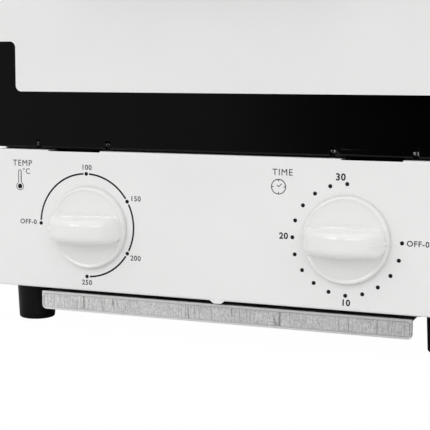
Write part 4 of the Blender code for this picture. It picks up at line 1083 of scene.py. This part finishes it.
def handle_bar(middle_y, middle_z):
    """The handle's bar as a loft of rounded sections that narrow at its ends."""
    half_thickness, half_height = handle_thickness / 2, handle_bar_height / 2
    section = rectangle(-half_thickness, -half_height, half_thickness, half_height,
                        handle_thickness * handle_round_share)
    rings = []
    for x_share, share in handle_end_shares + tuple((-x, s) for x, s in reversed(handle_end_shares)):
        x = x_share * handle_half
        rings.append([(x, middle_y + y * share, middle_z + z * share) for y, z in section])
    return loft("door_handle_dressed", rings)


def make_handle():
    """The moulded handle: a bar on two waisted feet."""
    low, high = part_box("door_handle")
    middle_y, middle_z = low.y + handle_thickness / 2, (low.z + high.z) / 2
    profile = [(0, high.y), (handle_foot_radius, high.y), (handle_waist_radius, high.y - handle_stand),
               (handle_waist_radius, middle_y), (0, middle_y)]
    handle = handle_bar(middle_y, middle_z)
    for side in (-1, 1):
        centre = (side * handle_foot_x, 0, middle_z)
        handle = join(handle, turned("foot", profile, "Y", centre, round_steps))
    handle = blended(handle, handle_voxel, handle_smooth_rounds, handle_smooth_share)
    dress(smooth(handle, moulded_angle), "handle_plastic", "door", "door_handle")


def printed(shape, outline, face):
    """A flat printed shape on the panel's face."""
    first = [shape.verts.new((x, face - ink_lift, panel_low + z)) for x, z in outline]
    second = [shape.verts.new((x, face - ink_lift + ink_depth, panel_low + z)) for x, z in outline]
    shape.faces.new(first)
    shape.faces.new(second)
    band(shape, first, second)


def printed_arc(shape, centre, radius, width, start, end, face):
    """A flat printed arc between two angles."""
    steps = max(int(abs(end - start) / arc_step), arc_least_steps)
    angles = [start + (end - start) * i / steps for i in range(steps + 1)]
    outline = [around(centre, radius - width / 2, angle) for angle in angles]
    outline += [around(centre, radius + width / 2, angle) for angle in reversed(angles)]
    printed(shape, outline, face)


def printed_disc(shape, centre, radius, face):
    printed(shape, [around(centre, radius, angle) for angle in full_turn(small_steps)], face)


def printed_bar(shape, start, end, width, face):
    """A straight printed stroke from one place to another."""
    start, end = Vector(start), Vector(end)
    along = (end - start).normalized()
    side = Vector((-along.y, along.x)) * width / 2
    printed(shape, [tuple(p) for p in (start - side, end - side, end + side, start + side)], face)


def label(words, spot, height, weight, face):
    """A word or number centred on a place of the panel, printed in plain letters."""
    x, z = spot
    data = bpy.data.curves.new("label", "FONT")
    data.body = words
    data.size = height * letter_scale
    data.align_x = "CENTER"
    data.align_y = "CENTER"
    data.extrude = ink_depth / 2
    data.offset = weight
    data.space_character = letter_spacing
    data.resolution_u = letter_steps
    name = "label_" + "".join(c if c.isalnum() else "_" for c in words) + ("_left" if x < 0 else "_right")
    text = scene_object(name, data)
    text.rotation_euler = (math.pi / 2, 0, 0)
    text.location = (x, face - ink_lift + ink_depth / 2, panel_low + z)
    bpy.context.view_layer.update()
    turn = text.matrix_world.copy()
    made = settle(text)
    made.data.transform(turn)
    dress_ink(made)


def thermometer(shape, face):
    """A thermometer sign: a bulb with a filled middle under a stem with graduations."""
    x, bulb_z = bulb_place
    low = bulb_z + stem_rise
    printed_arc(shape, bulb_place, bulb_radius, thermometer_line, bulb_start, bulb_end, face)
    printed_disc(shape, bulb_place, bulb_fill_radius, face)
    for side in (x - stem_half, x + stem_half):
        printed_bar(shape, (side, low), (side, stem_top), thermometer_line, face)
    printed_arc(shape, (x, stem_top), stem_half, thermometer_line, 0, math.pi, face)
    for i in range(graduation_count):
        z = low + graduation_start + i * graduation_pitch
        printed_bar(shape, (x, z), (x + stem_half, z), thermometer_line * graduation_line_share, face)


def clock(shape, face):
    """A clock sign: a ring with quarter marks and two hands."""
    printed_arc(shape, clock_place, clock_radius, clock_line, 0, clock_turn, face)
    for quarter in range(4):
        turn = math.pi / 2 * quarter
        outer = around(clock_place, clock_radius, turn)
        inner = around(clock_place, clock_radius * clock_mark_share, turn)
        printed_bar(shape, outer, inner, clock_line, face)
    for x, z in clock_hands:
        printed_bar(shape, clock_place, (clock_place[0] + x, clock_place[1] + z), clock_line, face)


def make_dials():
    """Everything that is printed on the panel."""
    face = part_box("control_panel")[0].y
    shape = bmesh.new()
    for first, second in zip(temperature_dots, temperature_dots[1:]):
        printed_arc(shape, temperature_dial, ring_radius, ring_width, math.radians(first) - ring_gap,
                    math.radians(second) + ring_gap, face)
    for angle in temperature_dots:
        spot = around(temperature_dial, ring_radius, math.radians(angle))
        printed_disc(shape, spot, dot_radius, face)
    thermometer(shape, face)
    dress_ink(mesh_object("temperature_marks", shape))
    shape = bmesh.new()
    for i in range(timer_dot_count):
        spot = around(timer_dial, ring_radius, -math.radians(timer_step * i))
        printed_disc(shape, spot, dot_radius, face)
    clock(shape, face)
    dress_ink(mesh_object("timer_marks", shape))
    for words, spot, height, weight in panel_words:
        label(words, spot, height, weight, face)


def screw(name, spot, axis, outward, body):
    """A pan-head screw with a cross recess, its head standing off a sheet."""
    turns = [math.pi / 2 * step / corner_steps for step in range(1, corner_steps)]
    profile = [(0, 0), (screw_radius, 0)]
    profile += [(screw_radius * math.cos(a) ** screw_edge_power,
                 screw_dome * math.sin(a) ** screw_crown_power) for a in turns]
    profile.append((0, screw_dome))
    profile = [(radius, outward * along) for radius, along in profile]
    head = turned(name, profile, axis, (0, 0, 0), small_steps)
    i = "XYZ".index(axis)
    across = [a for a in range(3) if a != i]
    for long_way, short_way in (across, across[::-1]):
        half = [0, 0, 0]
        half[long_way] = screw_slot_length / 2
        half[short_way] = screw_slot_width / 2
        low, high = [-h for h in half], list(half)
        depths = (screw_dome - screw_slot_depth, screw_dome + overrun)
        low[i], high[i] = sorted(outward * depth for depth in depths)
        head = cut(head, box("slot", low, high))
    head.data.transform(Matrix.Translation(Vector(spot)))
    dress(smooth(head), "steel", body)


def make_screws():
    """The screws that hold the wrap to the base and the back, and the back to its flanges."""
    low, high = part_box("housing_wrap")
    for word, side in (("left", -1), ("right", 1)):
        for i, share in enumerate(side_screw_shares):
            y = low.y + (high.y - low.y) * share
            spot = (side * (high.x + seam / 3), y, panel_low + side_screw_rise)
            screw("side_screw_%s_%d" % (word, i + 1), spot, "X", side, "housing")
    columns = (low.x + back_screw_inset, high.x - back_screw_inset)
    rows = (panel_low + back_screw_rise, high.z - back_screw_drop)
    places = [(x, z) for x in columns for z in rows]
    places += [(0, high.z - back_screw_inset), (0, panel_low + middle_screw_rise)]
    for i, (x, z) in enumerate(places):
        screw("back_screw_%d" % (i + 1), (x, high.y + seam / 3, z), "Y", 1, "housing")


def dress_the_rest():
    """The CAD nodes of the right shape keep it, with smooth rounds and softened edges."""
    slots = {part["node"]: part["material_slot"] for part in frame["record"]["subparts"]}
    for body, members in frame["record"]["behaviour"]["bodies"].items():
        for node in members:
            if node not in replaced:
                dress(break_edges(smooth(copied(node))), slots[node], body, node)


finishes = make_finishes()
make_camera()
make_studio()
make_control_panel()
make_door_skin()
make_housing()
make_feet()
make_catch_tray()
make_knob("temperature_knob", -1, "temperature_control")
make_knob("timer_knob", 1, "timer_control")
make_handle()
make_dials()
make_screws()
dress_the_rest()
